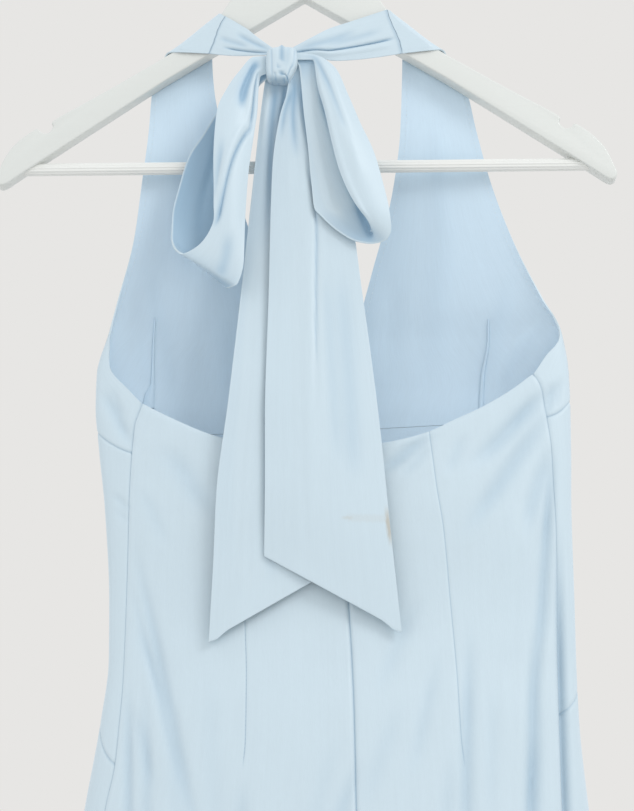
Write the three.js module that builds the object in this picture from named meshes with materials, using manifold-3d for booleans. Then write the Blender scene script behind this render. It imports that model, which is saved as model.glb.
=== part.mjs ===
// A pale blue satin halter dress that hangs by its neck straps on a white wooden hanger.
// Millimetres. The dress is seen from its back: +X is to the right, +Y goes through the dress
// to its front and +Z is up. The origin is the inside top of the hook, where a rail carries it.
import * as THREE from "three";
import { mergeVertices } from "three/addons/utils/BufferGeometryUtils.js";
import Module from "manifold-3d";

const wasm = await Module();
wasm.setup();

// Driving dimensions of the cloth
const CLOTH = 1.6; // thickness of a sewn panel or of the turned tie
const SEAM_GAP = 0.4; // space left between two panels at a seam
const SEAT_GAP = 0.3; // space left where one piece rests on another
const HEM_Z = -1500;
const DEGREE = Math.PI / 180;

// Driving dimensions of the hanger, in its own frame, which hangs tilted by a little
const HANGER_TILT = 0.6 * DEGREE;
const ARM_DEPTH = 14; // front to back
const ARM_BEVEL = 1.2;
const BAR = { radius: 4.5, groove: 0.45, ribs: 12, z: -241, reach: 206 };
const HOOK = { wire: 1.75, innerRadius: 19, stemFoot: -75, sides: 8, steps: 34 };

// Rows of numbers under named columns, read smoothly at any place along the first column
function table(names, rows) {
  const keys = rows.map((row) => row[0]);
  const slope = (i, c) => {
    if (i === 0 || i === rows.length - 1) return 0;
    const before = (rows[i][c] - rows[i - 1][c]) / (keys[i] - keys[i - 1]);
    const after = (rows[i + 1][c] - rows[i][c]) / (keys[i + 1] - keys[i]);
    return before * after <= 0 ? 0 : (2 * before * after) / (before + after);
  };
  const endSlope = (i, c) => {
    const j = i === 0 ? 1 : rows.length - 2;
    return (rows[i][c] - rows[j][c]) / (keys[i] - keys[j]);
  };
  const tangent = (i, c) => (i === 0 || i === rows.length - 1 ? endSlope(i, c) : slope(i, c));
  return (key) => {
    const rising = keys[keys.length - 1] > keys[0];
    const k = rising ? Math.min(Math.max(key, keys[0]), keys.at(-1)) : Math.max(Math.min(key, keys[0]), keys.at(-1));
    let i = 0;
    while (i < rows.length - 2 && (rising ? k > keys[i + 1] : k < keys[i + 1])) i += 1;
    const span = keys[i + 1] - keys[i];
    const t = (k - keys[i]) / span;
    const found = {};
    names.forEach((name, c) => {
      const [p, q] = [rows[i][c], rows[i + 1][c]];
      const [m, n] = [tangent(i, c) * span, tangent(i + 1, c) * span];
      found[name] = p * (2 * t ** 3 - 3 * t ** 2 + 1) + m * (t ** 3 - 2 * t ** 2 + t)
        + q * (3 * t ** 2 - 2 * t ** 3) + n * (t ** 3 - t ** 2);
    });
    return found;
  };
}

const mix = (a, b, t) => a + (b - a) * t;
const clamp = (value, low, high) => Math.min(Math.max(value, low), high);
const smooth = (t) => clamp(t, 0, 1) ** 2 * (3 - 2 * clamp(t, 0, 1));

// The dress from above: at each height the outline's left and right, how deep it is behind
// and before its middle, and where that middle lies front to back
const SECTION = table(["z", "left", "right", "backDepth", "frontDepth", "midY"], [
  [-120, -98.0, 100.0, 10.0, 1.5, 7.6],
  [-163, -103.0, 106.0, 10.0, 1.5, 7.6],
  [-178, -107.8, 116.2, 10.0, 1.6, 7.6],
  [-212, -110.3, 124.0, 10.0, 3.0, 7.7],
  [-247, -114.4, 133.0, 10.0, 7.0, 8.0],
  [-291, -119.7, 148.4, 12.0, 17.0, 8.0],
  [-335, -129.6, 168.2, 14.0, 26.0, 8.0],
  [-359, -134.8, 180.2, 15.0, 29.5, 8.0],
  [-391, -143.3, 185.1, 16.5, 30.5, 8.0],
  [-413, -143.8, 185.8, 18.0, 28.5, 8.0],
  [-445, -140.9, 185.9, 20.0, 23.0, 8.0],
  [-488, -136.0, 185.2, 21.5, 17.0, 8.0],
  [-551, -132.0, 185.9, 19.0, 13.0, 8.0],
  [-592, -131.6, 186.2, 22.0, 17.0, 8.0],
  [-633, -136.2, 187.3, 28.0, 23.0, 8.0],
  [-695, -146.5, 192.6, 33.5, 28.5, 8.0],
  [-800, -163.0, 203.0, 40.0, 35.0, 8.0],
  [-1000, -183.0, 226.0, 52.0, 47.0, 8.0],
  [-1250, -196.0, 258.0, 63.0, 58.0, 8.0],
  [-1500, -204.0, 292.0, 71.0, 66.0, 8.0],
]);

// Where the front's armhole edges stand on the section, in degrees: 0 is the right edge of the
// dress, 90 its back centre, 180 its left edge, 270 its front centre and 360 its right edge again
const ARMHOLE_LEFT = table(["z", "angle"], [
  [-120, 205], [-212, 204], [-247, 200], [-291, 193], [-335, 185],
  [-359, 178], [-371.5, 168], [-389.5, 160.2], [-402, 150.8], [-414.2, 143.5],
]);
const ARMHOLE_RIGHT = table(["z", "angle"], [
  [-120, 335], [-212, 336], [-247, 340], [-291, 347], [-320, 353],
  [-345, 359], [-364, 368.4], [-378, 383.6], [-392.7, 391.9],
]);
const NECK_EDGE = table(["z", "left", "right"], [
  [-125, -60.2, 62.8], [-156, -65.3, 71.2], [-178, -63.9, 70.7], [-213, -57.2, 69.3],
  [-246, -48.6, 65.2], [-272, -41.4, 60.0], [-308, -27.6, 49.8], [-329, -19.7, 44.0],
  [-368, -4.0, 33.2], [-405, 10.5, 23.6], [-425, 19.0, 19.0],
]);
const SIDE_SEAM = table(["z", "left", "right"], [
  [-392.7, -108.0, 160.4], [-399, -109.0, 164.4], [-406, -110.0, 166.8], [-414.2, -111.3, 168.0],
  [-430, -116.2, 170.4], [-451, -118.0, 172.6], [-483, -119.3, 174.1], [-511, -119.6, 174.5],
  [-606, -121.5, 174.6], [-641, -123.8, 174.7], [-665, -125.8, 174.9], [-695, -131.7, 175.2],
  [-800, -143.0, 184.0], [-1500, -180.0, 262.0],
]);
const CENTRE_BACK = table(["z", "x"], [
  [-440, 25.4], [-555, 31.4], [-625, 34.6], [-697, 36.0], [-800, 38.0], [-1500, 46.0],
]);
const FRONT_CENTRE = table(["z", "x"], [[-425, 19.0], [-560, 25.5], [-700, 27.0], [-1500, 44.0]]);
const BACK_TOP = table(["x", "z"], [
  [-111.3, -414.2], [-101.9, -419.6], [-85.3, -428.1], [-70.2, -435.1], [-54.5, -440.7],
  [-25, -446.5], [12, -448.6], [55.1, -444.4], [87.8, -435.6], [105.1, -427.1],
  [123.9, -417.8], [143.4, -405.7], [160.4, -392.7],
]);
const UNDER_BUST = table(["angle", "z"], [
  [143, -452], [149, -449.6], [180, -432.5], [225, -429.5], [270, -425], [315, -418.5], [360, -410.3], [384, -422.5], [392, -425],
]);
const HIP_SEAM = table(["angle", "z"], [
  [150, -668], [156.6, -663.1], [180, -634.7], [225, -592], [270, -562], [315, -583], [360, -612.3], [382, -630.4], [390, -636],
]);

// The largest folds: soft valleys in the satin, each from an upper to a lower place
const BACK = "back";
const FRONT = "front";
const FOLD_NAMES = ["side", "topX", "topZ", "lowX", "lowZ", "depth", "width"];
const FOLDS = [
  [BACK, 163, -411, 96, -470, 3.4, 9],
  [BACK, 167, -434, 110, -512, 3.0, 8],
  [BACK, 165, -452, 146, -523, 2.4, 7],
  [BACK, 84, -437, 52, -468, 2.0, 7],
  [BACK, 165, -510, 144, -740, 4.6, 8],
  [BACK, 174.5, -550, 176, -760, 6.0, 6],
  [BACK, 118, -596, 110, -750, 3.4, 10],
  [BACK, 93, -604, 82, -660, 2.0, 7],
  [BACK, 77, -570, 50, -612, 2.0, 8],
  [BACK, 36, -668, 8, -745, 3.0, 9],
  [BACK, -118, -520, -64, -735, 4.0, 8],
  [BACK, -119, -610, -116, -745, 3.4, 6],
  [BACK, -107, -608, -104, -745, 2.6, 6],
  [BACK, -40, -665, -44, -745, 2.2, 8],
  [BACK, -96, -440, -60, -500, 1.6, 8],
  [FRONT, -104, -452, -62, -520, 2.4, 9],
  [FRONT, 148, -440, 104, -516, 2.6, 9],
  [FRONT, -36, -470, -8, -530, 1.8, 9],
  [FRONT, 84, -466, 56, -530, 1.8, 9],
  [FRONT, -92, -645, -72, -760, 3.6, 10],
  [FRONT, 138, -625, 126, -760, 3.8, 10],
  [FRONT, 4, -590, -8, -740, 3.0, 11],
  [FRONT, 62, -600, 74, -745, 3.2, 11],
  [FRONT, -112, -330, -96, -420, 2.2, 8],
  [FRONT, 150, -330, 128, -412, 2.2, 8],
].map((row) => Object.fromEntries(FOLD_NAMES.map((name, i) => [name, row[i]])));

// The bust's rounding in the two front halves, and the flutes that open towards the hem
const BUST = { leftX: -74, rightX: 122, z: -384, rise: 6, radius: 40 };
const FLUTE = { count: 13, startZ: -660, hemDepth: 15 };

const isBack = (degrees) => Math.sin(degrees * DEGREE) > 0;

function section(z) {
  const at = SECTION(z);
  const leftAngle = Math.max(180, ARMHOLE_LEFT(z).angle) * DEGREE;
  const rightAngle = Math.min(360, ARMHOLE_RIGHT(z).angle) * DEGREE;
  const half = (at.right - at.left) / (Math.cos(rightAngle) - Math.cos(leftAngle));
  return { ...at, half, centre: at.left - half * Math.cos(leftAngle) };
}

function angleOf(x, z, side) {
  const { centre, half } = section(z);
  const degrees = Math.acos(clamp((x - centre) / half, -1, 1)) / DEGREE;
  return side === BACK ? degrees : 360 - degrees;
}

function plainPoint(at, degrees) {
  const depth = isBack(degrees) ? at.backDepth : at.frontDepth;
  return [at.centre + at.half * Math.cos(degrees * DEGREE), at.midY - depth * Math.sin(degrees * DEGREE)];
}

// How far the cloth lies outside its plain section at a place
function foldHeight(at, degrees, z) {
  const [x, y] = plainPoint(at, degrees);
  let height = 0;
  for (const fold of FOLDS) {
    const along = (fold.topZ - z) / (fold.topZ - fold.lowZ);
    if (along <= 0 || along >= 1) continue;
    const valleyX = mix(fold.topX, fold.lowX, along);
    const [vx, vy] = plainPoint(at, angleOf(valleyX, z, fold.side));
    const run = Math.hypot(fold.topX - fold.lowX, fold.topZ - fold.lowZ);
    const away = (Math.hypot(x - vx, y - vy) * (fold.topZ - fold.lowZ)) / run;
    const ends = smooth(along / 0.25) * smooth((1 - along) / 0.25);
    height -= fold.depth * ends * Math.exp(-((away / fold.width) ** 2));
  }
  if (!isBack(degrees)) {
    for (const bustX of [BUST.leftX, BUST.rightX]) {
      height += BUST.rise * Math.exp(-(Math.hypot(x - bustX, z - BUST.z) ** 2) / BUST.radius ** 2);
    }
  }
  const flat = (at.half - at.backDepth) / (at.half + at.backDepth);
  const along = degrees * DEGREE - (flat / 2) * Math.sin(2 * degrees * DEGREE);
  const open = smooth((FLUTE.startZ - z) / (FLUTE.startZ - HEM_Z)) * FLUTE.hemDepth;
  const uneven = 1 + 0.28 * Math.sin(3 * along + 0.6);
  return height + open * uneven * Math.cos(FLUTE.count * along + 0.9 * Math.sin(2 * along + 1));
}

// A point of the cloth's middle surface
function formPoint(degrees, z) {
  const at = section(z);
  const angle = degrees * DEGREE;
  const depth = isBack(degrees) ? at.backDepth : at.frontDepth;
  const [x, y] = plainPoint(at, degrees);
  const out = new THREE.Vector2(depth * Math.cos(angle), -at.half * Math.sin(angle)).normalize();
  const height = foldHeight(at, degrees, z);
  return new THREE.Vector3(x + out.x * height, y + out.y * height, z);
}

function formNormal(degrees, z) {
  const step = 0.25;
  const around = formPoint(degrees + step, z).sub(formPoint(degrees - step, z));
  const up = formPoint(degrees, z + step).sub(formPoint(degrees, z - step));
  return up.cross(around).normalize();
}

const onForm = (degrees, z, outwards = 0) => {
  const normal = formNormal(degrees, z);
  return { point: formPoint(degrees, z).addScaledVector(normal, outwards), normal };
};

// Normals of a grid of points that no formula gives
function withNormals(points, turn = 1) {
  const last = points.length - 1;
  const end = points[0].length - 1;
  return points.map((row, r) => row.map((point, c) => {
    const up = points[Math.min(r + 1, last)][c].clone().sub(points[Math.max(r - 1, 0)][c]);
    const across = row[Math.min(c + 1, end)].clone().sub(row[Math.max(c - 1, 0)]);
    return { point, normal: up.cross(across).multiplyScalar(turn).normalize() };
  }));
}

// A wall of cloth, closed round its edges, over a grid of middle points with their normals
function wall(grid, thickness = CLOTH) {
  const [rows, columns] = [grid.length, grid[0].length];
  const positions = [];
  for (const side of [0.5, -0.5]) {
    for (const row of grid) {
      for (const { point, normal } of row) {
        positions.push(...point.clone().addScaledVector(normal, side * thickness).toArray());
      }
    }
  }
  const outer = (r, c) => r * columns + c;
  const inner = (r, c) => rows * columns + outer(r, c);
  const faces = [];
  const quad = (a, b, c, d) => faces.push(a, b, c, a, c, d);
  for (let r = 0; r < rows - 1; r += 1) {
    for (let c = 0; c < columns - 1; c += 1) {
      quad(outer(r, c), outer(r, c + 1), outer(r + 1, c + 1), outer(r + 1, c));
      quad(inner(r, c), inner(r + 1, c), inner(r + 1, c + 1), inner(r, c + 1));
    }
    quad(outer(r, 0), outer(r + 1, 0), inner(r + 1, 0), inner(r, 0));
    quad(outer(r, columns - 1), inner(r, columns - 1), inner(r + 1, columns - 1), outer(r + 1, columns - 1));
  }
  for (let c = 0; c < columns - 1; c += 1) {
    quad(outer(0, c), inner(0, c), inner(0, c + 1), outer(0, c + 1));
    quad(outer(rows - 1, c), outer(rows - 1, c + 1), inner(rows - 1, c + 1), inner(rows - 1, c));
  }
  const geometry = new THREE.BufferGeometry();
  geometry.setAttribute("position", new THREE.Float32BufferAttribute(positions, 3));
  geometry.setIndex(faces);
  return facingOut(geometry);
}

function facingOut(geometry) {
  const position = geometry.getAttribute("position");
  const index = [...geometry.index.array];
  const corner = (i) => new THREE.Vector3().fromBufferAttribute(position, index[i]);
  let volume = 0;
  for (let i = 0; i < index.length; i += 3) volume += corner(i).dot(corner(i + 1).cross(corner(i + 2)));
  if (volume < 0) {
    for (let i = 0; i < index.length; i += 3) [index[i + 1], index[i + 2]] = [index[i + 2], index[i + 1]];
    geometry.setIndex(index);
  }
  return geometry;
}

function toSolid(geometry) {
  const plain = geometry.clone();
  for (const name of Object.keys(plain.attributes)) {
    if (name !== "position") plain.deleteAttribute(name);
  }
  const merged = mergeVertices(plain, 1e-4);
  return new wasm.Manifold(new wasm.Mesh({
    numProp: 3,
    vertProperties: new Float32Array(merged.getAttribute("position").array),
    triVerts: new Uint32Array(merged.index.array),
  }));
}

function fromSolid(solid) {
  const mesh = solid.getMesh();
  const geometry = new THREE.BufferGeometry();
  geometry.setAttribute("position", new THREE.Float32BufferAttribute(mesh.vertProperties, 3));
  geometry.setIndex([...mesh.triVerts]);
  return geometry;
}

const cut = (geometry, ...tools) => fromSolid(tools.reduce((left, tool) => left.subtract(toSolid(tool)), toSolid(geometry)));
const spread = (count) => Array.from({ length: count + 1 }, (_, i) => i / count);

// Back panels

const BACK_COLUMNS = 14;
const BACK_ROWS = [
  0, 0.012, 0.027, 0.043, 0.06, 0.078, 0.096, 0.114, 0.132, 0.15, 0.168, 0.186, 0.204, 0.222, 0.24, 0.262,
  0.29, 0.325, 0.365, 0.41, 0.46, 0.51, 0.56, 0.61, 0.66, 0.71, 0.76, 0.81, 0.86, 0.91, 0.955, 1,
];

function backPanel(side) {
  const seam = side < 0 ? "left" : "right";
  const inner = side < 0 ? -SEAM_GAP / 2 : SEAM_GAP / 2;
  const xAt = (u, z) => mix(SIDE_SEAM(z)[seam] - inner, CENTRE_BACK(z).x + inner, u);
  const topOf = (u) => {
    let z = -430;
    for (let i = 0; i < 6; i += 1) z = BACK_TOP(xAt(u, z)).z;
    return z;
  };
  return wall(BACK_ROWS.map((down) => spread(BACK_COLUMNS).map((u) => {
    const z = mix(topOf(u), HEM_Z, down);
    return onForm(angleOf(xAt(u, z), z, BACK), z);
  })));
}

// Front panels between the side seams

const BODICE_COLUMNS = 13;
const FRONT_COLUMNS = 2 * BODICE_COLUMNS;
const LAP = SEAM_GAP / 2;

function betweenSideSeams(u, z) {
  const { left, right } = SIDE_SEAM(z);
  const centre = angleOf(FRONT_CENTRE(z).x, z, FRONT);
  return u < 0.5
    ? mix(angleOf(left - LAP, z, BACK), centre, 2 * u)
    : mix(centre, 360 + angleOf(right + LAP, z, BACK), 2 * u - 1);
}

function settle(start, next) {
  let z = start;
  for (let i = 0; i < 8; i += 1) z = next(z);
  return z;
}

function frontPanel(columns, rows, topZ, bottomZ) {
  return wall(rows.map((down) => spread(columns).map((u) => {
    const z = settle(-600, (guess) => {
      const angle = betweenSideSeams(u, guess);
      return mix(topZ(angle), bottomZ(angle), down);
    });
    return onForm(betweenSideSeams(u, z), z);
  })));
}

const midriffFront = () => frontPanel(
  FRONT_COLUMNS,
  spread(6),
  (angle) => UNDER_BUST(angle).z - LAP,
  (angle) => HIP_SEAM(angle).z + LAP,
);

const SKIRT_ROWS = [
  0, 0.03, 0.06, 0.09, 0.125, 0.16, 0.2, 0.25, 0.3, 0.35, 0.4, 0.45, 0.5, 0.56, 0.62, 0.68, 0.74, 0.8, 0.86, 0.93, 1,
];
const skirtFront = () => frontPanel(FRONT_COLUMNS, SKIRT_ROWS, (angle) => HIP_SEAM(angle).z - LAP, () => HEM_Z);

// The hanger's own frame, turned about the origin

const onHanger = (x, y, z) => new THREE.Vector3(
  x * Math.cos(HANGER_TILT) - z * Math.sin(HANGER_TILT),
  y,
  x * Math.sin(HANGER_TILT) + z * Math.cos(HANGER_TILT),
);

// The top edge of the arm, from the head's flank out to the shoulder's notch
const ARM_TOP = table(["x", "z"], [
  [57.5, -123.0], [61, -128.4], [66, -132.6], [73, -138.3], [82, -146.0], [90, -152.4], [97, -157.3],
  [105, -162.3], [110, -165.2], [125.8, -175.0], [152, -190.4], [179, -206.2],
]);
const HEAD_TOP = [
  [0, -56], [9, -57.6], [17.5, -63], [25, -73], [33, -87], [42, -101.5], [51, -113.2], [57.5, -123.0],
];
const SHOULDER = [
  [179.3, -210.5], [181.5, -214.6], [185, -216], [188.5, -214.4], [190.8, -212.5], [196.5, -215.8],
  [203, -220.9], [209, -227.2], [213.5, -234.2], [216.7, -242], [219.2, -248.4], [218.6, -252.4],
  [215.5, -254.2], [211, -252.6], [205.7, -248.8],
];
const ARM_UNDER = [[188, -236.7], [150, -211], [100, -177.2], [50, -146.0], [0, -115]];

function hangerBody() {
  const edge = [66, 73, 82, 90, 97, 105, 116, 134, 156, 179].map((x) => [x, ARM_TOP(x).z]);
  const half = [...HEAD_TOP, [61, ARM_TOP(61).z], ...edge, ...SHOULDER, ...ARM_UNDER];
  const mirrored = half.slice(1, -1).reverse().map(([x, z]) => [-x, z]);
  const outline = new THREE.Shape([...half, ...mirrored].map(([x, z]) => new THREE.Vector2(x, z)));
  const wood = new THREE.ExtrudeGeometry(outline, {
    depth: ARM_DEPTH - 2 * ARM_BEVEL,
    bevelThickness: ARM_BEVEL,
    bevelSize: ARM_BEVEL,
    bevelOffset: -ARM_BEVEL,
    bevelSegments: 1,
    curveSegments: 1,
  });
  wood.translate(0, 0, ARM_BEVEL - ARM_DEPTH / 2).rotateX(Math.PI / 2);
  const barBore = new THREE.CylinderGeometry(BAR.radius + SEAT_GAP, BAR.radius + SEAT_GAP, 2 * (BAR.reach + SEAT_GAP), 16);
  barBore.rotateZ(Math.PI / 2).translate(0, 0, BAR.z);
  const boreTop = -40;
  const stemBore = new THREE.CylinderGeometry(HOOK.wire + SEAT_GAP, HOOK.wire + SEAT_GAP, boreTop - HOOK.stemFoot + SEAT_GAP, 12);
  stemBore.rotateX(Math.PI / 2).translate(0, 0, (boreTop + HOOK.stemFoot - SEAT_GAP) / 2);
  return cut(wood, barBore, stemBore);
}

function hangerBar() {
  const points = spread(2 * BAR.ribs).slice(0, -1).map((turn, i) => {
    const radius = BAR.radius - (i % 2 ? BAR.groove : 0);
    return new THREE.Vector2(radius * Math.cos(turn * 2 * Math.PI), radius * Math.sin(turn * 2 * Math.PI));
  });
  const rod = new THREE.ExtrudeGeometry(new THREE.Shape(points), { depth: 2 * BAR.reach, bevelEnabled: false });
  return rod.translate(0, 0, -BAR.reach).rotateY(Math.PI / 2).translate(0, 0, BAR.z);
}

function hangerHook() {
  const ring = HOOK.innerRadius + HOOK.wire;
  const turn = (degrees) => new THREE.Vector3(
    ring * Math.cos(degrees * DEGREE), 0, -HOOK.innerRadius + ring * Math.sin(degrees * DEGREE),
  );
  const lead = [[0, HOOK.stemFoot], [0, -60], [0.4, -50], [4.0, -43.5]].map(([x, z]) => new THREE.Vector3(x, 0, z));
  const bend = [-52, -30, 0, 30, 60, 90, 120, 150, 180, 206].map(turn);
  const circle = new THREE.Shape(spread(HOOK.sides).slice(0, -1).map((part) => new THREE.Vector2(
    HOOK.wire * Math.cos(part * 2 * Math.PI), HOOK.wire * Math.sin(part * 2 * Math.PI),
  )));
  return new THREE.ExtrudeGeometry(circle, { steps: HOOK.steps, extrudePath: new THREE.CatmullRomCurve3([...lead, ...bend]) });
}

// The halter fronts, from the under-bust seam up behind the arm, over it and down to the neck seam

const STRAP = { innerX: 61.5, outerX: 103, behindRise: -6 };
// How the strap lies over the arm: front to back, height over the arm's top and how far the
// outer edge has come in
const OVER_ARM_NAMES = ["y", "innerRise", "outerRise", "inset"];
const OVER_ARM = [
  [8.1, -1.2, -1.2, 0.5], [6.0, 1.9, 1.9, 2.0], [0.0, 2.6, 2.6, 4.0],
  [-6.0, 1.9, 1.9, 6.5], [-8.1, -1.2, -1.2, 8.5], [-8.4, -4.0, -2.6, 9.5],
].map((row) => Object.fromEntries(OVER_ARM_NAMES.map((name, i) => [name, row[i]])));
// The neck seam on each side: its upper and lower end, and how far it bows outwards
const NECK_SEAM = {
  left: { topX: -55.9, topZ: -130.4, lowX: -67.1, lowZ: -158.6, bow: -0.8 },
  right: { topX: 60.0, topZ: -125.4, lowX: 70.5, lowZ: -158.5, bow: 1.0 },
};
const NECK_SEAM_Y = -8.6;
const TIE_GAP = 0.35; // from the neck seam to the cloth on each side of it

function neckSeam(name, u, inwards) {
  const seam = NECK_SEAM[name];
  const side = Math.sign(seam.topX);
  const x = mix(seam.topX, seam.lowX, u) + seam.bow * Math.sin(Math.PI * u) - side * inwards;
  return new THREE.Vector3(x, NECK_SEAM_Y, mix(seam.topZ, seam.lowZ, u));
}

function bodice(name) {
  const side = name === "left" ? -1 : 1;
  const frontEdge = (z) => angleOf(NECK_EDGE(z)[name] + (z < -400 ? side * LAP : 0), z, FRONT);
  const sideEdge = (z) => {
    const seamTop = name === "left" ? -414.2 : -392.7;
    if (z > seamTop) return (name === "left" ? ARMHOLE_LEFT : ARMHOLE_RIGHT)(z).angle;
    const angle = angleOf(SIDE_SEAM(z)[name] + side * LAP, z, BACK);
    return name === "left" ? angle : 360 + angle;
  };
  const angleAt = (u, z) => mix(frontEdge(z), sideEdge(z), u);
  const armTop = (u, inset, rise) => {
    const x = mix(STRAP.innerX, STRAP.outerX - inset, u);
    return [side * x, ARM_TOP(x).z + rise];
  };
  const topOf = (u) => {
    const [x, z] = armTop(u, 0, STRAP.behindRise);
    return onHanger(x, 0, z).z;
  };
  const lower = [0, 0.04, 0.085, 0.13, 0.18, 0.235, 0.3, 0.37, 0.44, 0.51, 0.58, 0.66, 0.74, 0.82, 0.9, 0.96, 1]
    .map((up) => spread(BODICE_COLUMNS).map((u) => {
      const z = settle(-430, (guess) => mix(UNDER_BUST(angleAt(u, guess)).z + 2 * LAP, topOf(u), up));
      return onForm(angleAt(u, z), z);
    }));
  const over = OVER_ARM.map((step) => spread(BODICE_COLUMNS).map((u) => {
    const [x, z] = armTop(u, step.inset, mix(step.innerRise, step.outerRise, u));
    return onHanger(x, step.y, z);
  }));
  const start = over.at(-1);
  const fan = [0.34, 0.68, 1].map((along) => spread(BODICE_COLUMNS).map((u, c) => (
    start[c].clone().lerp(neckSeam(name, u, -TIE_GAP), along))));
  const shaped = withNormals([...lower.map((row) => row.map(({ point }) => point)), ...over, ...fan], side);
  return wall(shaped.map((row, r) => (r < lower.length - 2 ? lower[r] : row)));
}

// The tie: bands from the neck seams, the knot, its two loops and two tails

const KNOT = { x: -15.3, y: -14.6, z: -168.7, width: 21.5, depth: 18.5, height: 26.5, around: 16, rings: 10 };

function knot(grow = 0) {
  const ball = new THREE.SphereGeometry(1, KNOT.around, KNOT.rings);
  const position = ball.getAttribute("position");
  const squared = (value) => Math.sign(value) * Math.abs(value) ** 0.82;
  for (let i = 0; i < position.count; i += 1) {
    const [x, y, z] = [position.getX(i), position.getZ(i), position.getY(i)].map(squared);
    const waist = 1 - 0.05 * Math.cos(5 * (x + 0.7 * z));
    position.setXYZ(
      i,
      KNOT.x + x * waist * (KNOT.width / 2 + grow),
      KNOT.y + y * waist * (KNOT.depth / 2 + grow),
      KNOT.z + z * (KNOT.height / 2 + grow),
    );
  }
  return facingOut(mergeVertices(stripped(ball), 1e-4));
}

function stripped(geometry) {
  const plain = geometry.clone();
  plain.deleteAttribute("normal");
  plain.deleteAttribute("uv");
  return plain;
}

// A strip of the tie between two edges, each given at the same few places along it.
// Crown is how far the strip's middle stands out, towards the side it turns to the back.
const STRIP_NAMES = ["ax", "ay", "az", "bx", "by", "bz", "crown"];

function strip(rows, columns, steps) {
  const places = table(["place", ...STRIP_NAMES], rows.map((row, i) => [i, ...row]));
  return wall(withNormals(spread(steps).map((part) => {
    const at = places(part * (rows.length - 1));
    const edgeA = new THREE.Vector3(at.ax, at.ay, at.az);
    const edgeB = new THREE.Vector3(at.bx, at.by, at.bz);
    return spread(columns).map((u) => edgeA.clone().lerp(edgeB, u)
      .add(new THREE.Vector3(0, -at.crown * Math.sin(Math.PI * u), 0)));
  })));
}

const LEFT_LOOP = [
  [-21, -15, -163.0, -21, -15, -175.0, 0],
  [-34.8, -17, -164.6, -30.5, -16, -179.1, 2],
  [-44.6, -20, -176.1, -31.8, -18, -189.6, 3],
  [-53.5, -23, -190.7, -32.4, -20, -205.3, 4],
  [-60.3, -27, -209.3, -35.0, -23, -227.2, 4],
  [-62.3, -31, -245.0, -38.5, -26, -256.0, 4],
  [-61.6, -32, -286.7, -40.5, -27, -292.4, 3],
  [-71.8, -31, -308.2, -41.0, -28, -319.5, 2],
  [-82.9, -29, -313.7, -46.1, -27, -335.8, 1],
  [-89.5, -24, -307.4, -51.1, -23, -336.5, 0],
  [-91.6, -19, -297.9, -56.1, -18, -328.8, 0],
  [-91.3, -15, -281.2, -56.3, -15, -315.6, 0],
  [-86.8, -12, -258.6, -52.4, -13, -287.9, 0],
  [-80.1, -11, -236.0, -47.0, -11, -261.5, 0],
  [-71.4, -11, -221.9, -42.3, -10.8, -231.7, 0],
  [-60.2, -11, -203.2, -36.1, -10.5, -205.4, 0],
  [-44.8, -11, -183.4, -32.0, -10.5, -185.6, 0],
  [-21, -12, -166.5, -21, -12, -175.6, 0],
];
const RIGHT_LOOP = [
  [-8, -17.5, -162.0, -8, -18.5, -169.5, 0],
  [6.4, -18.5, -163.4, 5.7, -19.5, -170.9, 1],
  [21.9, -21, -173.5, 11.3, -25, -189.2, 3],
  [31.5, -24, -195.5, 15.5, -28, -208.2, 4],
  [39.8, -26, -216.8, 19.7, -30, -228.9, 4],
  [49.4, -27, -238.9, 24.6, -31, -249.8, 4],
  [54.8, -28, -258.4, 30.1, -32, -265.6, 3],
  [60.0, -28, -281.8, 37.7, -32, -281.6, 2],
  [61.4, -26.5, -295.0, 42.5, -31, -290.0, 1],
  [57.2, -23.5, -302.6, 44.0, -28.0, -291.8, 0],
  [48.2, -21, -303.3, 44.7, -24.5, -291.4, 0],
  [36.4, -20, -300.8, 44.1, -22.0, -288.4, 0],
  [24.6, -19.5, -294.4, 42.7, -21.0, -282.3, 0],
  [13.4, -19.5, -284.2, 40.0, -21.0, -275.7, 0],
  [8.2, -19.5, -277.2, 35.8, -21.0, -266.1, 0],
  [6.1, -19, -260.3, 30.3, -20.5, -246.1, 0],
  [3.6, -18.5, -232.8, 23.3, -20, -221.5, 0],
  [0.4, -18, -204.4, 14.9, -19.5, -197.5, 0],
  [-1.8, -17.5, -184.0, 7.8, -18.5, -182.6, 0],
  [-9, -17, -174.5, -6, -17.5, -173.5, 0],
];
const RIGHT_TAIL = [
  [-11, -14, -174, -7.5, -14, -174, 0],
  [-12.0, -14.5, -194.3, 0.7, -14, -194.1, 0.4],
  [-15.9, -15, -209.9, 4.3, -14, -209.1, 0.8],
  [-21.3, -15, -246.6, 13.4, -14, -247.6, 1],
  [-22.6, -15.5, -283.1, 26.0, -14.5, -282.4, 1],
  [-23.7, -17, -341.3, 41.5, -16.5, -341.0, 1],
  [-25.7, -22.5, -422.5, 53.1, -22, -436.5, 1.4],
  [-25.5, -24, -473.3, 57.5, -23, -500.9, 1.8],
  [-25.9, -24, -525.3, 66.1, -23, -575.7, 1.8],
];
const LEFT_TAIL = [
  [-23, -8.6, -174, -14, -8.6, -174, 0],
  [-28.2, -9.2, -192.5, -13.2, -9.5, -193.0, 0],
  [-29.9, -10, -208.1, -10.4, -10, -207.7, 0],
  [-36.6, -10.5, -271.2, -0.6, -10.5, -270.8, 0],
  [-43.5, -12.5, -342.3, 5.7, -12.5, -342.4, 0],
  [-51.0, -18.3, -414.7, 11.3, -18.3, -408.6, 0.4],
  [-58.7, -19.3, -480.3, 16.8, -19.3, -454.8, 0.6],
  [-60.6, -19.3, -530.0, 20.1, -19.3, -496.0, 0.6],
  [-63.2, -19.3, -582.6, 24.2, -19.3, -532.0, 0.4],
];
const BAND_LOW_AT_KNOT = -161.2;
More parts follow.
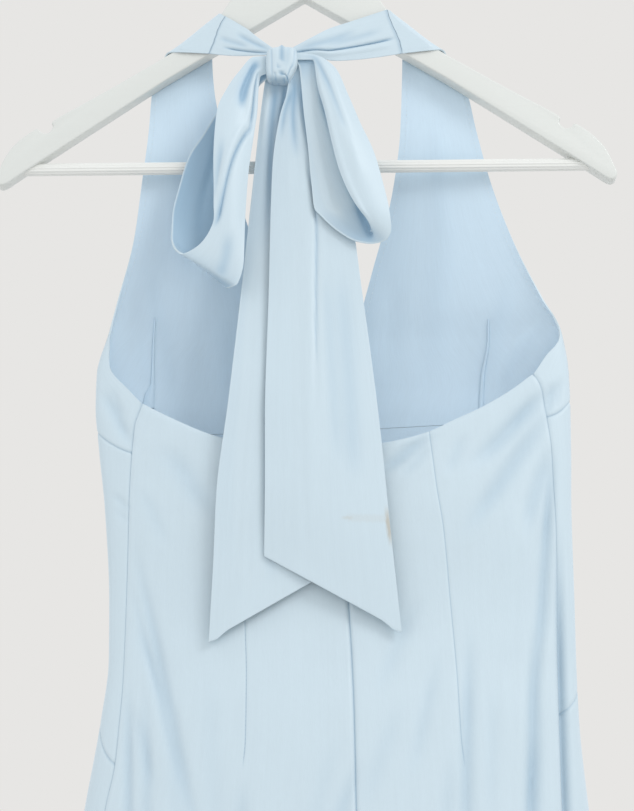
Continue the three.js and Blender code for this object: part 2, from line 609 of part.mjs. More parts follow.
const LEFT_BAND = [
  [-48.0, -9.2, -135.2, -58.5, -9.2, -159.9, 0.6],
  [-39.3, -10.2, -141.3, -46.3, -10.2, -161.0, 0.8],
  [-32.1, -11.8, -148.1, -34.2, -11.8, -161.4, 0.8],
  [-21, -13.2, -157.0, -21, -13.2, BAND_LOW_AT_KNOT, 0.4],
];
const RIGHT_BAND = [
  [46.4, -9.2, -130.4, 54.8, -9.2, -161.4, 0.6],
  [33.5, -9.8, -135.2, 37.0, -9.8, -163.8, 1.0],
  [19.2, -11.2, -140.7, 21.3, -11.2, -165.0, 1.0],
  [6.4, -12.6, -148.0, 6.4, -12.6, -161.8, 0.6],
  [-9, -13.2, -157.0, -9, -13.2, BAND_LOW_AT_KNOT, 0.2],
];

const BAND_STEPS = 8;

function band(name, rows) {
  const side = name === "left" ? -1 : 1;
  const seam = spread(BODICE_COLUMNS).map((u) => neckSeam(name, u, TIE_GAP));
  const places = table(["place", ...STRIP_NAMES], rows.map((row, i) => [i, ...row]));
  const first = places(0);
  const point = (at, u) => new THREE.Vector3(
    mix(at.ax, at.bx, u), mix(at.ay, at.by, u) - at.crown * Math.sin(Math.PI * u), mix(at.az, at.bz, u),
  );
  const between = seam.map((start, c) => start.clone().lerp(point(first, c / BODICE_COLUMNS), 0.5));
  const rest = spread(BAND_STEPS).map((part) => (
    spread(BODICE_COLUMNS).map((u) => point(places(part * (rows.length - 1)), u))));
  return cut(wall(withNormals([seam, between, ...rest], -side)), knot(SEAT_GAP));
}

const tied = (rows, columns, steps) => cut(strip(rows, columns, steps), knot(SEAT_GAP));

// The concealed zip in the centre-back seam, its slider at the top and the pull tab on it

const ZIP = { topZ: -452, lowZ: -664, half: 9, tape: 1.2, seat: 0.7 };
const SLIDER = { z: -457, width: 6, height: 9, plate: 1.5, ear: 1.2, earHeight: 2.4 };
const PULL = { knuckle: 1.0, length: 20, width: 5, neck: 2.4, thickness: 1.0, play: 0.3 };

function zipTape() {
  const inwards = -(CLOTH / 2 + ZIP.seat + ZIP.tape / 2);
  return wall(spread(16).map((down) => spread(4).map((u) => {
    const z = mix(ZIP.topZ, ZIP.lowZ, down);
    const x = CENTRE_BACK(z).x + mix(-ZIP.half, ZIP.half, u);
    return onForm(angleOf(x, z, BACK), z, inwards);
  })), ZIP.tape);
}

const seatX = CENTRE_BACK(SLIDER.z).x;
const seatY = onForm(angleOf(seatX, SLIDER.z + SLIDER.height / 2, BACK), SLIDER.z, CLOTH / 2).point.y - 0.5;
const HINGE = { x: seatX, y: seatY - SEAT_GAP - SLIDER.plate - PULL.play - PULL.knuckle, z: SLIDER.z };

function zipSlider() {
  const plate = new THREE.BoxGeometry(SLIDER.width, SLIDER.plate, SLIDER.height);
  plate.translate(HINGE.x, seatY - SEAT_GAP - SLIDER.plate / 2, SLIDER.z);
  const reach = seatY - SEAT_GAP - SLIDER.plate - (HINGE.y - PULL.knuckle);
  const ears = [-1, 1].map((side) => {
    const ear = new THREE.BoxGeometry(SLIDER.ear, reach + SLIDER.plate / 2, SLIDER.earHeight);
    const x = HINGE.x + side * (PULL.neck / 2 + PULL.play + SLIDER.ear / 2);
    return ear.translate(x, seatY - SEAT_GAP - SLIDER.plate / 2 - (reach + SLIDER.plate / 2) / 2, HINGE.z);
  });
  return fromSolid(ears.reduce((body, ear) => body.add(toSolid(ear)), toSolid(plate)));
}

function zipPull() {
  const knuckle = new THREE.CylinderGeometry(PULL.knuckle, PULL.knuckle, PULL.neck, 16);
  knuckle.rotateZ(Math.PI / 2).translate(HINGE.x, HINGE.y, HINGE.z);
  const neckLength = SLIDER.earHeight + 2;
  const neck = new THREE.BoxGeometry(PULL.neck, PULL.thickness, neckLength);
  neck.translate(HINGE.x, HINGE.y, HINGE.z - neckLength / 2);
  const outline = new THREE.Shape();
  const [half, top, low] = [PULL.width / 2, -SLIDER.earHeight, -PULL.length];
  outline.moveTo(-PULL.neck / 2, top);
  outline.lineTo(-half, top - 3);
  outline.absarc(0, low + half, half, Math.PI, 2 * Math.PI, false);
  outline.lineTo(half, top - 3);
  outline.lineTo(PULL.neck / 2, top);
  const tab = new THREE.ExtrudeGeometry(outline, { depth: PULL.thickness, bevelEnabled: false, curveSegments: 8 });
  tab.rotateX(Math.PI / 2).translate(HINGE.x, HINGE.y + PULL.thickness / 2, HINGE.z);
  return fromSolid(toSolid(knuckle).add(toSolid(neck)).add(toSolid(tab)));
}

// Finishes

const satin = () => new THREE.MeshStandardMaterial({ color: 0xc9dde6, roughness: 0.42, metalness: 0 });
const whitePaint = () => new THREE.MeshStandardMaterial({ color: 0xe6e8e4, roughness: 0.45, metalness: 0 });
const steel = () => new THREE.MeshStandardMaterial({ color: 0xb9bdbf, roughness: 0.28, metalness: 1 });
const tapeCloth = () => new THREE.MeshStandardMaterial({ color: 0xb7cedb, roughness: 0.8, metalness: 0 });
const blueEnamel = () => new THREE.MeshStandardMaterial({ color: 0xb4cbd8, roughness: 0.4, metalness: 0.2 });

function piece(name, geometry, material) {
  const mesh = new THREE.Mesh(geometry, material);
  mesh.name = name;
  return mesh;
}

const hanger = new THREE.Group();
hanger.rotation.y = -HANGER_TILT;
hanger.add(
  piece("hanger_body", hangerBody(), whitePaint()),
  piece("hanger_bar", hangerBar(), whitePaint()),
  piece("hanger_hook", hangerHook(), steel()),
);

const dress = new THREE.Group();
dress.add(
  piece("bodice_left", bodice("left"), satin()),
  piece("bodice_right", bodice("right"), satin()),
  piece("midriff_front", midriffFront(), satin()),
  piece("skirt_front", skirtFront(), satin()),
  piece("back_left", backPanel(-1), satin()),
  piece("back_right", backPanel(1), satin()),
  piece("tie_band_left", band("left", LEFT_BAND), satin()),
  piece("tie_band_right", band("right", RIGHT_BAND), satin()),
  piece("bow_knot", knot(), satin()),
  piece("bow_loop_left", tied(LEFT_LOOP, 5, 30), satin()),
  piece("bow_loop_right", tied(RIGHT_LOOP, 5, 32), satin()),
  piece("bow_tail_left", tied(LEFT_TAIL, 6, 18), satin()),
  piece("bow_tail_right", tied(RIGHT_TAIL, 6, 18), satin()),
  piece("zip_tape", zipTape(), tapeCloth()),
  piece("zip_slider", zipSlider(), blueEnamel()),
  piece("zip_pull", zipPull(), blueEnamel()),
);

const dressOnHanger = new THREE.Group();
dressOnHanger.add(hanger, dress);

export default dressOnHanger;
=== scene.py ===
"""The looks of a pale blue satin halter dress that hangs on a white wooden hanger.

Lengths are in millimetres where a class holds them, and become metres as a mesh is placed. The
dress is seen from its back: +X is to the right, +Y goes through the dress to its front and +Z is
up. The origin is the inside top of the hook.
"""

import logging
import math
from bisect import bisect_right
from collections.abc import Callable, Sequence
from dataclasses import dataclass, field
from enum import Enum

import bpy
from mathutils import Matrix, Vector


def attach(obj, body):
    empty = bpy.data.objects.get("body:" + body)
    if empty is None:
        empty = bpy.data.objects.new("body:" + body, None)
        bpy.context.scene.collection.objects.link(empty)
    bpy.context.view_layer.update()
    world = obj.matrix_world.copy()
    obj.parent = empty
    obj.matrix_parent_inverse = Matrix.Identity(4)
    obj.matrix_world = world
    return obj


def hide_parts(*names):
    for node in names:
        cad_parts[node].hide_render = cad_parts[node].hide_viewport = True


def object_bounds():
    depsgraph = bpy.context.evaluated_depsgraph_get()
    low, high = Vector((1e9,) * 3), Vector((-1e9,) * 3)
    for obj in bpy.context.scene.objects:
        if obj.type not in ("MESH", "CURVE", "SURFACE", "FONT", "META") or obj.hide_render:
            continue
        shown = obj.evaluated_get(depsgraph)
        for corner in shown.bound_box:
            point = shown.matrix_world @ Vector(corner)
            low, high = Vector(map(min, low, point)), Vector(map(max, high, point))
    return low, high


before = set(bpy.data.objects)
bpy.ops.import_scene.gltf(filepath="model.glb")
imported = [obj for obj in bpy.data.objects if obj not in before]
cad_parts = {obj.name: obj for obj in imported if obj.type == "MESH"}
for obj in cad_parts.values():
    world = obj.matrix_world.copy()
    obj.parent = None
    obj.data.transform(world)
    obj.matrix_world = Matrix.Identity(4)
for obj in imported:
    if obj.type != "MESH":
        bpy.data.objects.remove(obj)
CAD_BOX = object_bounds()

MM = 0.001
HEM_Z = -1500.0
DRESS = "dress"
SETTLE_ROUNDS = 5
FOLD_REACH = 3.0
FOLD_FADE = 0.38
FOLD_BAND = 12.0
log = logging.getLogger("dress")

Piece = bpy.types.Object
Material = bpy.types.Material
Socket = bpy.types.NodeSocket
Place = Callable[[float, float], Vector]
Laid = tuple[Vector, float, float]
Lay = Callable[[float, float], Laid]
Rows = tuple[tuple[float, ...], ...]
Colour = tuple[float, float, float]


# Small numbers


def mix(a: float, b: float, t: float) -> float:
    """The value a share t of the way from a to b."""
    return a + (b - a) * t


def clamp(value: float, low: float, high: float) -> float:
    """The value, held between low and high."""
    return min(max(value, low), high)


def smooth(t: float) -> float:
    """A step from 0 to 1 with level ends."""
    s = clamp(t, 0.0, 1.0)
    return s * s * (3.0 - 2.0 * s)


def bell(distance: float, width: float) -> float:
    """1 at no distance, and near 0 past twice the width."""
    return math.exp(-((distance / width) ** 2))


@dataclass(frozen=True)
class Trace:
    """What a seam leaves in the cloth: its strength on the seam and how far from it that reaches."""

    strength: float
    width: float

    def at(self, distance: float) -> float:
        """What is left of it at a distance from the seam."""
        return self.strength * bell(distance, self.width)


def crowd(t: float, strength: float) -> float:
    """Even places from 0 to 1, moved so that they crowd at both ends.

    Args:
        t: The even place.
        strength: 0 leaves the places even, and 0.9 leaves a tenth of their spacing at the ends.

    Returns:
        The moved place.
    """
    return t - strength * math.sin(2.0 * math.pi * t) / (2.0 * math.pi)


class Table:
    """Rows of numbers under named columns, read smoothly at any place along the first column."""

    def __init__(self, names: Sequence[str], rows: Sequence[Sequence[float]]) -> None:
        """Keeps the rows in rising order of their first column.

        Args:
            names: The columns' names, the first one being the place along the table.
            rows: One row of numbers for each place.
        """
        ordered = sorted(rows)
        self.names = tuple(names)
        self.keys = [row[0] for row in ordered]
        self.columns = [[row[c] for row in ordered] for c in range(1, len(names))]
        self.slopes = [self._slopes(column) for column in self.columns]

    def _slopes(self, column: Sequence[float]) -> list[float]:
        """The slope of a column at each row, level wherever the column turns back."""
        gaps = [b - a for a, b in zip(self.keys, self.keys[1:])]
        rises = [(b - a) / gap for a, b, gap in zip(column, column[1:], gaps)]
        inner = [0.0 if a * b <= 0 else 2.0 * a * b / (a + b) for a, b in zip(rises, rises[1:])]
        return [rises[0], *inner, rises[-1]]

    def at(self, key: float) -> tuple[float, ...]:
        """Reads every column but the first.

        Args:
            key: The place along the first column, held inside the table.

        Returns:
            One number for each further column.
        """
        k = clamp(key, self.keys[0], self.keys[-1])
        i = min(max(bisect_right(self.keys, k) - 1, 0), len(self.keys) - 2)
        span = self.keys[i + 1] - self.keys[i]
        t = (k - self.keys[i]) / span
        start, rise, end, fall = (
            (2.0 * t - 3.0) * t * t + 1.0, ((t - 2.0) * t + 1.0) * t * span,
            (3.0 - 2.0 * t) * t * t, (t - 1.0) * t * t * span,
        )
        return tuple(
            column[i] * start + slope[i] * rise + column[i + 1] * end + slope[i + 1] * fall
            for column, slope in zip(self.columns, self.slopes)
        )

    def value(self, key: float) -> float:
        """Reads the second column alone."""
        return self.at(key)[0]


# The form of the dress


class Side(Enum):
    """The two sides of the dress as its back is seen."""

    LEFT = -1
    RIGHT = 1

    @property
    def index(self) -> int:
        """Its place in a pair that names the left first."""
        return 0 if self is Side.LEFT else 1

    @property
    def word(self) -> str:
        """Its word in a piece's name."""
        return self.name.lower()


class Face(Enum):
    """The two halves of the dress, before and behind its side edges."""

    BACK = "back"
    FRONT = "front"


@dataclass(frozen=True)
class Section:
    """The dress at one height: its half width, centre and depths."""

    half: float
    centre: float
    back_depth: float
    front_depth: float
    mid_y: float

    def plain(self, degrees: float) -> tuple[float, float]:
        """The point of the unfolded outline at an angle, where 90 is the back and 270 the front."""
        angle = math.radians(degrees)
        rise = math.sin(angle)
        depth = self.back_depth if rise > 0 else self.front_depth
        return self.centre + self.half * math.cos(angle), self.mid_y - depth * rise

    def angle(self, x: float, face: Face) -> float:
        """The angle at which a half of the outline has this x."""
        degrees = math.degrees(math.acos(clamp((x - self.centre) / self.half, -1.0, 1.0)))
        return degrees if face is Face.BACK else 360.0 - degrees


@dataclass(frozen=True)
class Fold:
    """A soft trough in the satin from an upper to a lower place, or a ridge if its depth is negative."""

    face: Face
    top_x: float
    top_z: float
    low_x: float
    low_z: float
    depth: float
    width: float

    def height(self, at: Section, x: float, y: float, z: float) -> float:
        """How far the trough lowers the cloth at a place of the section.

        Args:
            at: The section there.
            x: The x of the place, in mm.
            y: The y of the place, in mm.
            z: The height, in mm.

        Returns:
            The lift in mm, below 0 in the trough.
        """
        if not self.low_z < z < self.top_z:
            return 0.0
        drop = self.top_z - self.low_z
        along = (self.top_z - z) / drop
        valley_x, valley_y = at.plain(at.angle(mix(self.top_x, self.low_x, along), self.face))
        lean = drop / math.hypot(self.low_x - self.top_x, drop)
        away = math.hypot(x - valley_x, y - valley_y) * lean
        if away > FOLD_REACH * self.width:
            return 0.0
        ends = smooth(along / FOLD_FADE) * smooth((1.0 - along) / FOLD_FADE)
        return -self.depth * ends * bell(away, self.width)


def folds(face: Face, rows: Sequence[Sequence[float]]) -> tuple[Fold, ...]:
    """Folds on one half of the dress, from rows of top x and z, low x and z, depth and width."""
    return tuple(Fold(face, *row) for row in rows)


@dataclass
class DressForm:
    """The dress as one smooth body with its folds, on which every panel is laid."""

    section_rows: Table = Table(
        ("z", "left", "right", "back_depth", "front_depth", "mid_y"), [
            (-120, -98, 100, 10, 1.5, 7.6), (-163, -103, 106, 10, 1.5, 7.6),
            (-178, -107.8, 116.2, 10, 1.6, 7.6), (-212, -110.3, 124, 10, 3, 7.7),
            (-247, -114.4, 133, 10, 7, 8), (-291, -119.7, 148.4, 12, 17, 8),
            (-335, -129.6, 168.2, 14, 26, 8), (-359, -134.8, 180.2, 15, 29.5, 8),
            (-391, -143.3, 185.1, 16.5, 30.5, 8), (-413, -143.8, 185.8, 18, 28.5, 8),
            (-445, -140.9, 185.9, 20, 23, 8), (-488, -136, 185.2, 21.5, 17, 8),
            (-551, -132, 185.9, 19, 13, 8), (-592, -131.6, 186.2, 22, 17, 8),
            (-633, -136.2, 187.3, 28, 23, 8), (-695, -146.5, 192.6, 33.5, 28.5, 8),
            (-800, -163, 203, 40, 35, 8), (-1000, -183, 226, 52, 47, 8),
            (-1250, -196, 258, 63, 58, 8), (-1500, -204, 292, 71, 66, 8),
        ])
    armhole_left: Table = Table(("z", "angle"), [
        (-120, 205), (-212, 204), (-247, 200), (-291, 193), (-335, 185),
        (-359, 178), (-371.5, 168), (-389.5, 160.2), (-402, 150.8), (-414.2, 143.5),
    ])
    armhole_right: Table = Table(("z", "angle"), [
        (-120, 335), (-212, 336), (-247, 340), (-291, 347), (-320, 353),
        (-345, 359), (-364, 368.4), (-378, 383.6), (-392.7, 391.9),
    ])
    neck_edge: Table = Table(("z", "left", "right"), [
        (-125, -60.2, 62.8), (-156, -65.3, 71.2), (-178, -63.9, 70.7), (-213, -57.2, 69.3),
        (-246, -48.6, 65.2), (-272, -41.4, 60.0), (-308, -27.6, 49.8), (-329, -19.7, 44.0),
        (-368, -4.0, 33.2), (-405, 10.5, 23.6), (-425, 19.0, 19.0),
    ])
    side_seam: Table = Table(("z", "left", "right"), [
        (-392.7, -108.0, 160.4), (-399, -109.0, 164.4), (-406, -110.0, 166.8),
        (-414.2, -111.3, 168.0), (-430, -116.2, 170.4), (-451, -118.0, 172.6),
        (-483, -119.3, 174.1), (-511, -119.6, 174.5), (-606, -121.5, 174.6),
        (-641, -123.8, 174.7), (-665, -125.8, 174.9), (-695, -131.7, 175.2),
        (-800, -143.0, 184.0), (-1500, -180.0, 262.0),
    ])
    centre_back: Table = Table(("z", "x"), [
        (-440, 25.4), (-555, 31.4), (-625, 34.6), (-697, 36.0), (-800, 38.0), (-1500, 46.0),
    ])
    front_centre: Table = Table(("z", "x"), [
        (-425, 19.0), (-560, 25.5), (-700, 27.0), (-1500, 44.0),
    ])
    back_top: Table = Table(("x", "z"), [
        (-111.3, -414.2), (-101.9, -419.6), (-85.3, -428.1), (-70.2, -435.1), (-54.5, -440.7),
        (-25, -446.5), (12, -448.6), (55.1, -444.4), (87.8, -435.6), (105.1, -427.1),
        (123.9, -417.8), (143.4, -405.7), (160.4, -392.7),
    ])
    under_bust: Table = Table(("angle", "z"), [
        (143, -452), (149, -449.6), (180, -432.5), (225, -429.5), (270, -425), (315, -418.5),
        (360, -410.3), (384, -422.5), (392, -425),
    ])
    hip_seam: Table = Table(("angle", "z"), [
        (150, -668), (156.6, -663.1), (180, -634.7), (225, -592), (270, -562), (315, -583),
        (360, -612.3), (382, -630.4), (390, -636),
    ])
    large_folds: tuple[Fold, ...] = folds(Face.BACK, [
        (175, -397, 112, -468, 2.6, 6), (177, -409, 106, -517, 2.4, 6),
        (172, -440, 149, -515, 2.0, 5.5), (90, -434, 50, -470, 2.6, 5),
        (173, -440, 157, -640, 3.0, 4.2), (159, -560, 151, -760, 3.6, 4.6),
        (175.4, -490, 177.4, -790, 5.0, 3.2),
        (113, -560, 107, -760, 2.6, 4.6), (93, -585, 70, -685, 1.2, 5),
        (80, -545, 48, -625, 1.0, 6), (38, -660, 10, -750, 2.0, 5),
        (-118, -500, -62, -750, 2.6, 4.0), (-118, -600, -115, -760, 2.4, 3.6),
        (-106, -600, -102, -760, 1.8, 3.8), (-39, -672, -43, -760, 1.5, 5),
        (-96, -440, -60, -500, 1.6, 8),
    ]) + folds(Face.FRONT, [
        (-106, -440, -50, -545, 1.4, 8), (150, -430, 92, -540, 1.5, 8),
        (-40, -455, 4, -556, 0.9, 8), (88, -452, 48, -556, 0.9, 8),
        (-94, -610, -84, -860, 2.2, 8), (140, -610, 136, -860, 2.4, 8),
        (2, -590, -12, -840, 1.8, 9), (62, -600, 80, -850, 1.9, 9),
        (-114, -300, -88, -425, 1.3, 7), (152, -305, 118, -418, 1.3, 7),
    ])
    creases: tuple[Fold, ...] = folds(Face.BACK, [
        (165, -404, 140, -438, 0.9, 3), (112, -434, 98, -470, 1.0, 4.5),
        (90, -444, 66, -472, 1.0, 3.5), (-120, -530, -74, -712, 1.8, 2.8),
        (174, -450, 166, -520, 1.0, 3), (152, -480, 134, -540, -0.8, 6),
        (-140, -400, -117, -449, 2.0, 4.2), (-134, -399, -123, -428, 0.8, 3),
        (175, -396, 169, -424, 1.5, 2.8), (180, -392, 175, -420, 0.8, 3),
        (-131, -476, -118, -492, 0.9, 2.6), (-129, -486, -119, -500, 0.7, 2.4),
        (-62, -442, -34, -486, -0.6, 5), (-112, -470, -92, -520, 0.8, 5),
        (-117, -560, -88, -640, 1.0, 4), (-114, -622, -98, -690, 1.2, 4),
        (166, -560, 160, -640, -1.0, 4), (158, -640, 150, -720, 1.2, 5),
        (128, -600, 124, -720, 0.8, 5), (100, -650, 90, -750, 1.0, 5),
        (66, -620, 38, -705, 0.9, 6), (24, -640, 0, -735, 0.7, 6),
        (-64, -590, -56, -745, 0.6, 7), (-90, -640, -76, -765, 0.9, 5),
        (150, -700, 151, -980, 2.2, 9), (104, -720, 98, -1000, 2.0, 10),
        (-100, -720, -110, -1010, 2.1, 10), (-30, -730, -38, -1000, 1.6, 11),
        (70, -740, 74, -980, 1.6, 11), (-70, -900, -88, -1210, 1.7, 14),
        (120, -930, 146, -1230, 1.8, 14), (8, -950, 0, -1240, 1.6, 14),
    ]) + folds(Face.FRONT, [
        (-118, -350, -104, -404, 1.0, 5), (160, -350, 138, -398, 1.2, 4),
        (166, -346, 154, -380, 0.9, 3.5), (-60, -330, -52, -414, 1.2, 9),
        (-36, -352, -26, -420, -0.9, 8), (104, -250, 92, -410, 1.0, 10),
        (64, -300, 60, -400, -0.8, 8), (-92, -210, -84, -330, 1.0, 8),
        (-76, -180, -70, -260, 0.7, 5), (96, -190, 100, -300, 0.9, 8),
        (-74, -560, -56, -700, 1.0, 7), (104, -550, 86, -690, 1.0, 7),
        (30, -452, 22, -520, 0.7, 7), (-120, -480, -104, -560, 1.0, 6),
        (168, -480, 150, -560, 1.0, 6), (-40, -680, -56, -980, 1.8, 12),
        (98, -690, 110, -960, 1.9, 12), (30, -700, 28, -990, 1.6, 12),
        (152, -740, 166, -1040, 1.7, 12), (-108, -740, -122, -1050, 1.7, 12),
        (60, -880, 68, -1200, 1.6, 14), (-20, -900, -32, -1230, 1.6, 14),
    ])
    bust_x: tuple[float, float] = (-74.0, 122.0)
    bust_z: float = -384.0
    bust_rise: float = 6.0
    bust_radius: float = 40.0
    flutes: int = 13
    flute_start: float = -660.0
    flute_depth: float = 15.0
    # How much the flutes differ, how many times round the hem, and from where
    uneven: tuple[float, float, float] = (0.28, 3.0, 0.6)
    # How far the flutes are shifted, how many times round the hem, and from where
    sway: tuple[float, float, float] = (0.9, 2.0, 1.0)
    # How much of a seam the front hides, where that begins and over what share of the round
    front_hides: tuple[float, float, float] = (0.85, 0.05, 0.3)
    # Fold and flute depths, in mm, at which the painted shade in their hollows is full
    fold_shade_depth: float = 9.5
    flute_shade_depth: float = 40.0

    def __post_init__(self) -> None:
        """Sorts the folds into bands of height, so that a place looks at few of them."""
        self.banded: dict[int, list[Fold]] = {}
        for fold in self.large_folds + self.creases:
            for band in range(self.band(fold.low_z), self.band(fold.top_z) + 1):
                self.banded.setdefault(band, []).append(fold)

    @staticmethod
    def band(z: float) -> int:
        """The band of height that a place is in."""
        return int(z // FOLD_BAND)

    def section(self, z: float) -> Section:
        """The outline of the dress at a height."""
        left, right, back_depth, front_depth, mid_y = self.section_rows.at(z)
        from_left = math.cos(math.radians(max(180.0, self.armhole_left.value(z))))
        from_right = math.cos(math.radians(min(360.0, self.armhole_right.value(z))))
        half = (right - left) / (from_right - from_left)
        return Section(half, left - half * from_left, back_depth, front_depth, mid_y)

    def folded(self, at: Section, degrees: float, z: float) -> float:
        """How far the folds lift the cloth off its plain section, below 0 in a trough."""
        x, y = at.plain(degrees)
        return sum(fold.height(at, x, y, z) for fold in self.banded.get(self.band(z), ()))

    def rounded(self, at: Section, degrees: float, z: float) -> float:
        """How far the bust lifts the cloth of the front.

        Args:
            at: The section there.
            degrees: The angle round the form.
            z: The height, in mm.

        Returns:
            The lift, in mm.
        """
        if math.sin(math.radians(degrees)) > 0:
            return 0.0
        x, _ = at.plain(degrees)
        return sum(
            self.bust_rise * bell(math.hypot(x - bust_x, z - self.bust_z), self.bust_radius)
            for bust_x in self.bust_x
        )

    def fluted(self, at: Section, degrees: float, z: float) -> float:
        """How far the skirt's flutes lift the cloth, below 0 between them.

        Args:
            at: The section there.
            degrees: The angle round the form.
            z: The height, in mm.

        Returns:
            The lift, in mm.
        """
        flat = (at.half - at.back_depth) / (at.half + at.back_depth)
        along = math.radians(degrees) - flat / 2.0 * math.sin(2.0 * math.radians(degrees))
        opening = smooth((self.flute_start - z) / (self.flute_start - HEM_Z)) * self.flute_depth
        share, times, start = self.uneven
        uneven = 1.0 + share * math.sin(times * along + start)
        shift, times, start = self.sway
        sway = shift * math.sin(times * along + start)
        return opening * uneven * math.cos(self.flutes * along + sway)

    def raised(self, degrees: float) -> float:
        """How much a seam shows at an angle: fully at the sides, and faintly across the front."""
        hidden, start, span = self.front_hides
        return 1.0 - hidden * smooth((-math.sin(math.radians(degrees)) - start) / span)

    def laid(self, degrees: float, z: float, outwards: float) -> tuple[Vector, float]:
        """A point of the cloth, in millimetres, and how deep in a hollow it lies.

        Args:
            degrees: The angle round the dress.
            z: The height.
            outwards: How far off the cloth's middle the point is, outwards from the dress.

        Returns:
            The point, and its hollow from 0 on a ridge to 1 at the foot of a deep fold.
        """
        at = self.section(z)
        angle = math.radians(degrees)
        depth = at.back_depth if math.sin(angle) > 0 else at.front_depth
        x, y = at.plain(degrees)
        out = Vector((depth * math.cos(angle), -at.half * math.sin(angle))).normalized()
        folded = self.folded(at, degrees, z)
        fluted = self.fluted(at, degrees, z)
        height = folded + fluted + self.rounded(at, degrees, z) + outwards
        # How much painted shade the satin's colour takes here, from the depth of the folds and the flutes
        hollow = clamp(-folded / self.fold_shade_depth - fluted / self.flute_shade_depth, 0.0, 1.0)
        return Vector((x + out.x * height, y + out.y * height, z)), hollow

    def point(self, degrees: float, z: float, outwards: float = 0.0) -> Vector:
        """A point of the cloth, in millimetres, or one as far outwards from it as asked."""
        return self.laid(degrees, z, outwards)[0]

    def between_sides(self, u: float, z: float, lap: float) -> float:
        """The angle a share u of the way from the left side seam, round the front, to the right one.

        Args:
            u: The share of the way across the front.
            z: The height, in mm.
            lap: How far the edges lie from the side seams, in mm.

        Returns:
            The angle round the form, in degrees.
        """
        left, right = self.side_seam.at(z)
        at = self.section(z)
        centre = at.angle(self.front_centre.value(z), Face.FRONT)
        if u < 0.5:
            return mix(at.angle(left - lap, Face.BACK), centre, 2.0 * u)
        return mix(centre, 360.0 + at.angle(right + lap, Face.BACK), 2.0 * u - 1.0)


def settle(start: float, following: Callable[[float], float]) -> float:
    """The height at which a rule that depends on the height agrees with itself."""
    z = start
    for _ in range(SETTLE_ROUNDS):
        z = following(z)
    return z


def through(points: Sequence[Vector], place: float) -> Vector:
    """A point of the smooth line through points, at a place counted in points from the first.

    Args:
        points: The points the line runs through.
        place: The place, where 1.5 is halfway from the second to the third point.

    Returns:
        The point of the line.
    """
    i = min(int(place), len(points) - 2)
    t = place - i
    before = points[max(i - 1, 0)]
    start = points[i]
    end = points[i + 1]
    after = points[min(i + 2, len(points) - 1)]
    return 0.5 * (
        2.0 * start + (end - before) * t + (2.0 * before - 5.0 * start + 4.0 * end - after) * t * t
        + (3.0 * start - before - 3.0 * end + after) * t ** 3
    )


# Shader maths


class Number:
    """A number of a material, on which Python's operators add Math nodes."""

    def __init__(self, paint: "Paint", socket: Socket) -> None:
        """Keeps the socket that carries the number."""
        self.paint = paint
        self.socket = socket

    def _math(self, operation: str, first: "Number | float",
              second: "Number | float") -> "Number":
        """One Math node on two numbers."""
        node = self.paint.node("ShaderNodeMath", {"operation": operation}, {0: first, 1: second})
        return Number(self.paint, node.outputs[0])

    def __add__(self, other: "Number | float") -> "Number":
        """The sum."""
        return self._math("ADD", self, other)

    __radd__ = __add__

    def __sub__(self, other: "Number | float") -> "Number":
        """The difference."""
        return self._math("SUBTRACT", self, other)

    def __rsub__(self, other: "Number | float") -> "Number":
        """The difference, from the right."""
        return self._math("SUBTRACT", other, self)

    def __mul__(self, other: "Number | float") -> "Number":
        """The product."""
        return self._math("MULTIPLY", self, other)

    __rmul__ = __mul__

    def away_from(self, centre: float) -> "Number":
        """How far the number is from a centre."""
        difference = self - centre
        return difference._math("ABSOLUTE", difference, 0.0)

    def sine(self) -> "Number":
        """The sine, in radians."""
        return self._math("SINE", self, 0.0)

    def step(self, low: float, high: float) -> "Number":
        """A smooth step from 0 at low to 1 at high."""
        node = self.paint.node(
            "ShaderNodeMapRange", {"interpolation_type": "SMOOTHSTEP"},
            {"Value": self, "From Min": low, "From Max": high},
        )
        return Number(self.paint, node.outputs["Result"])


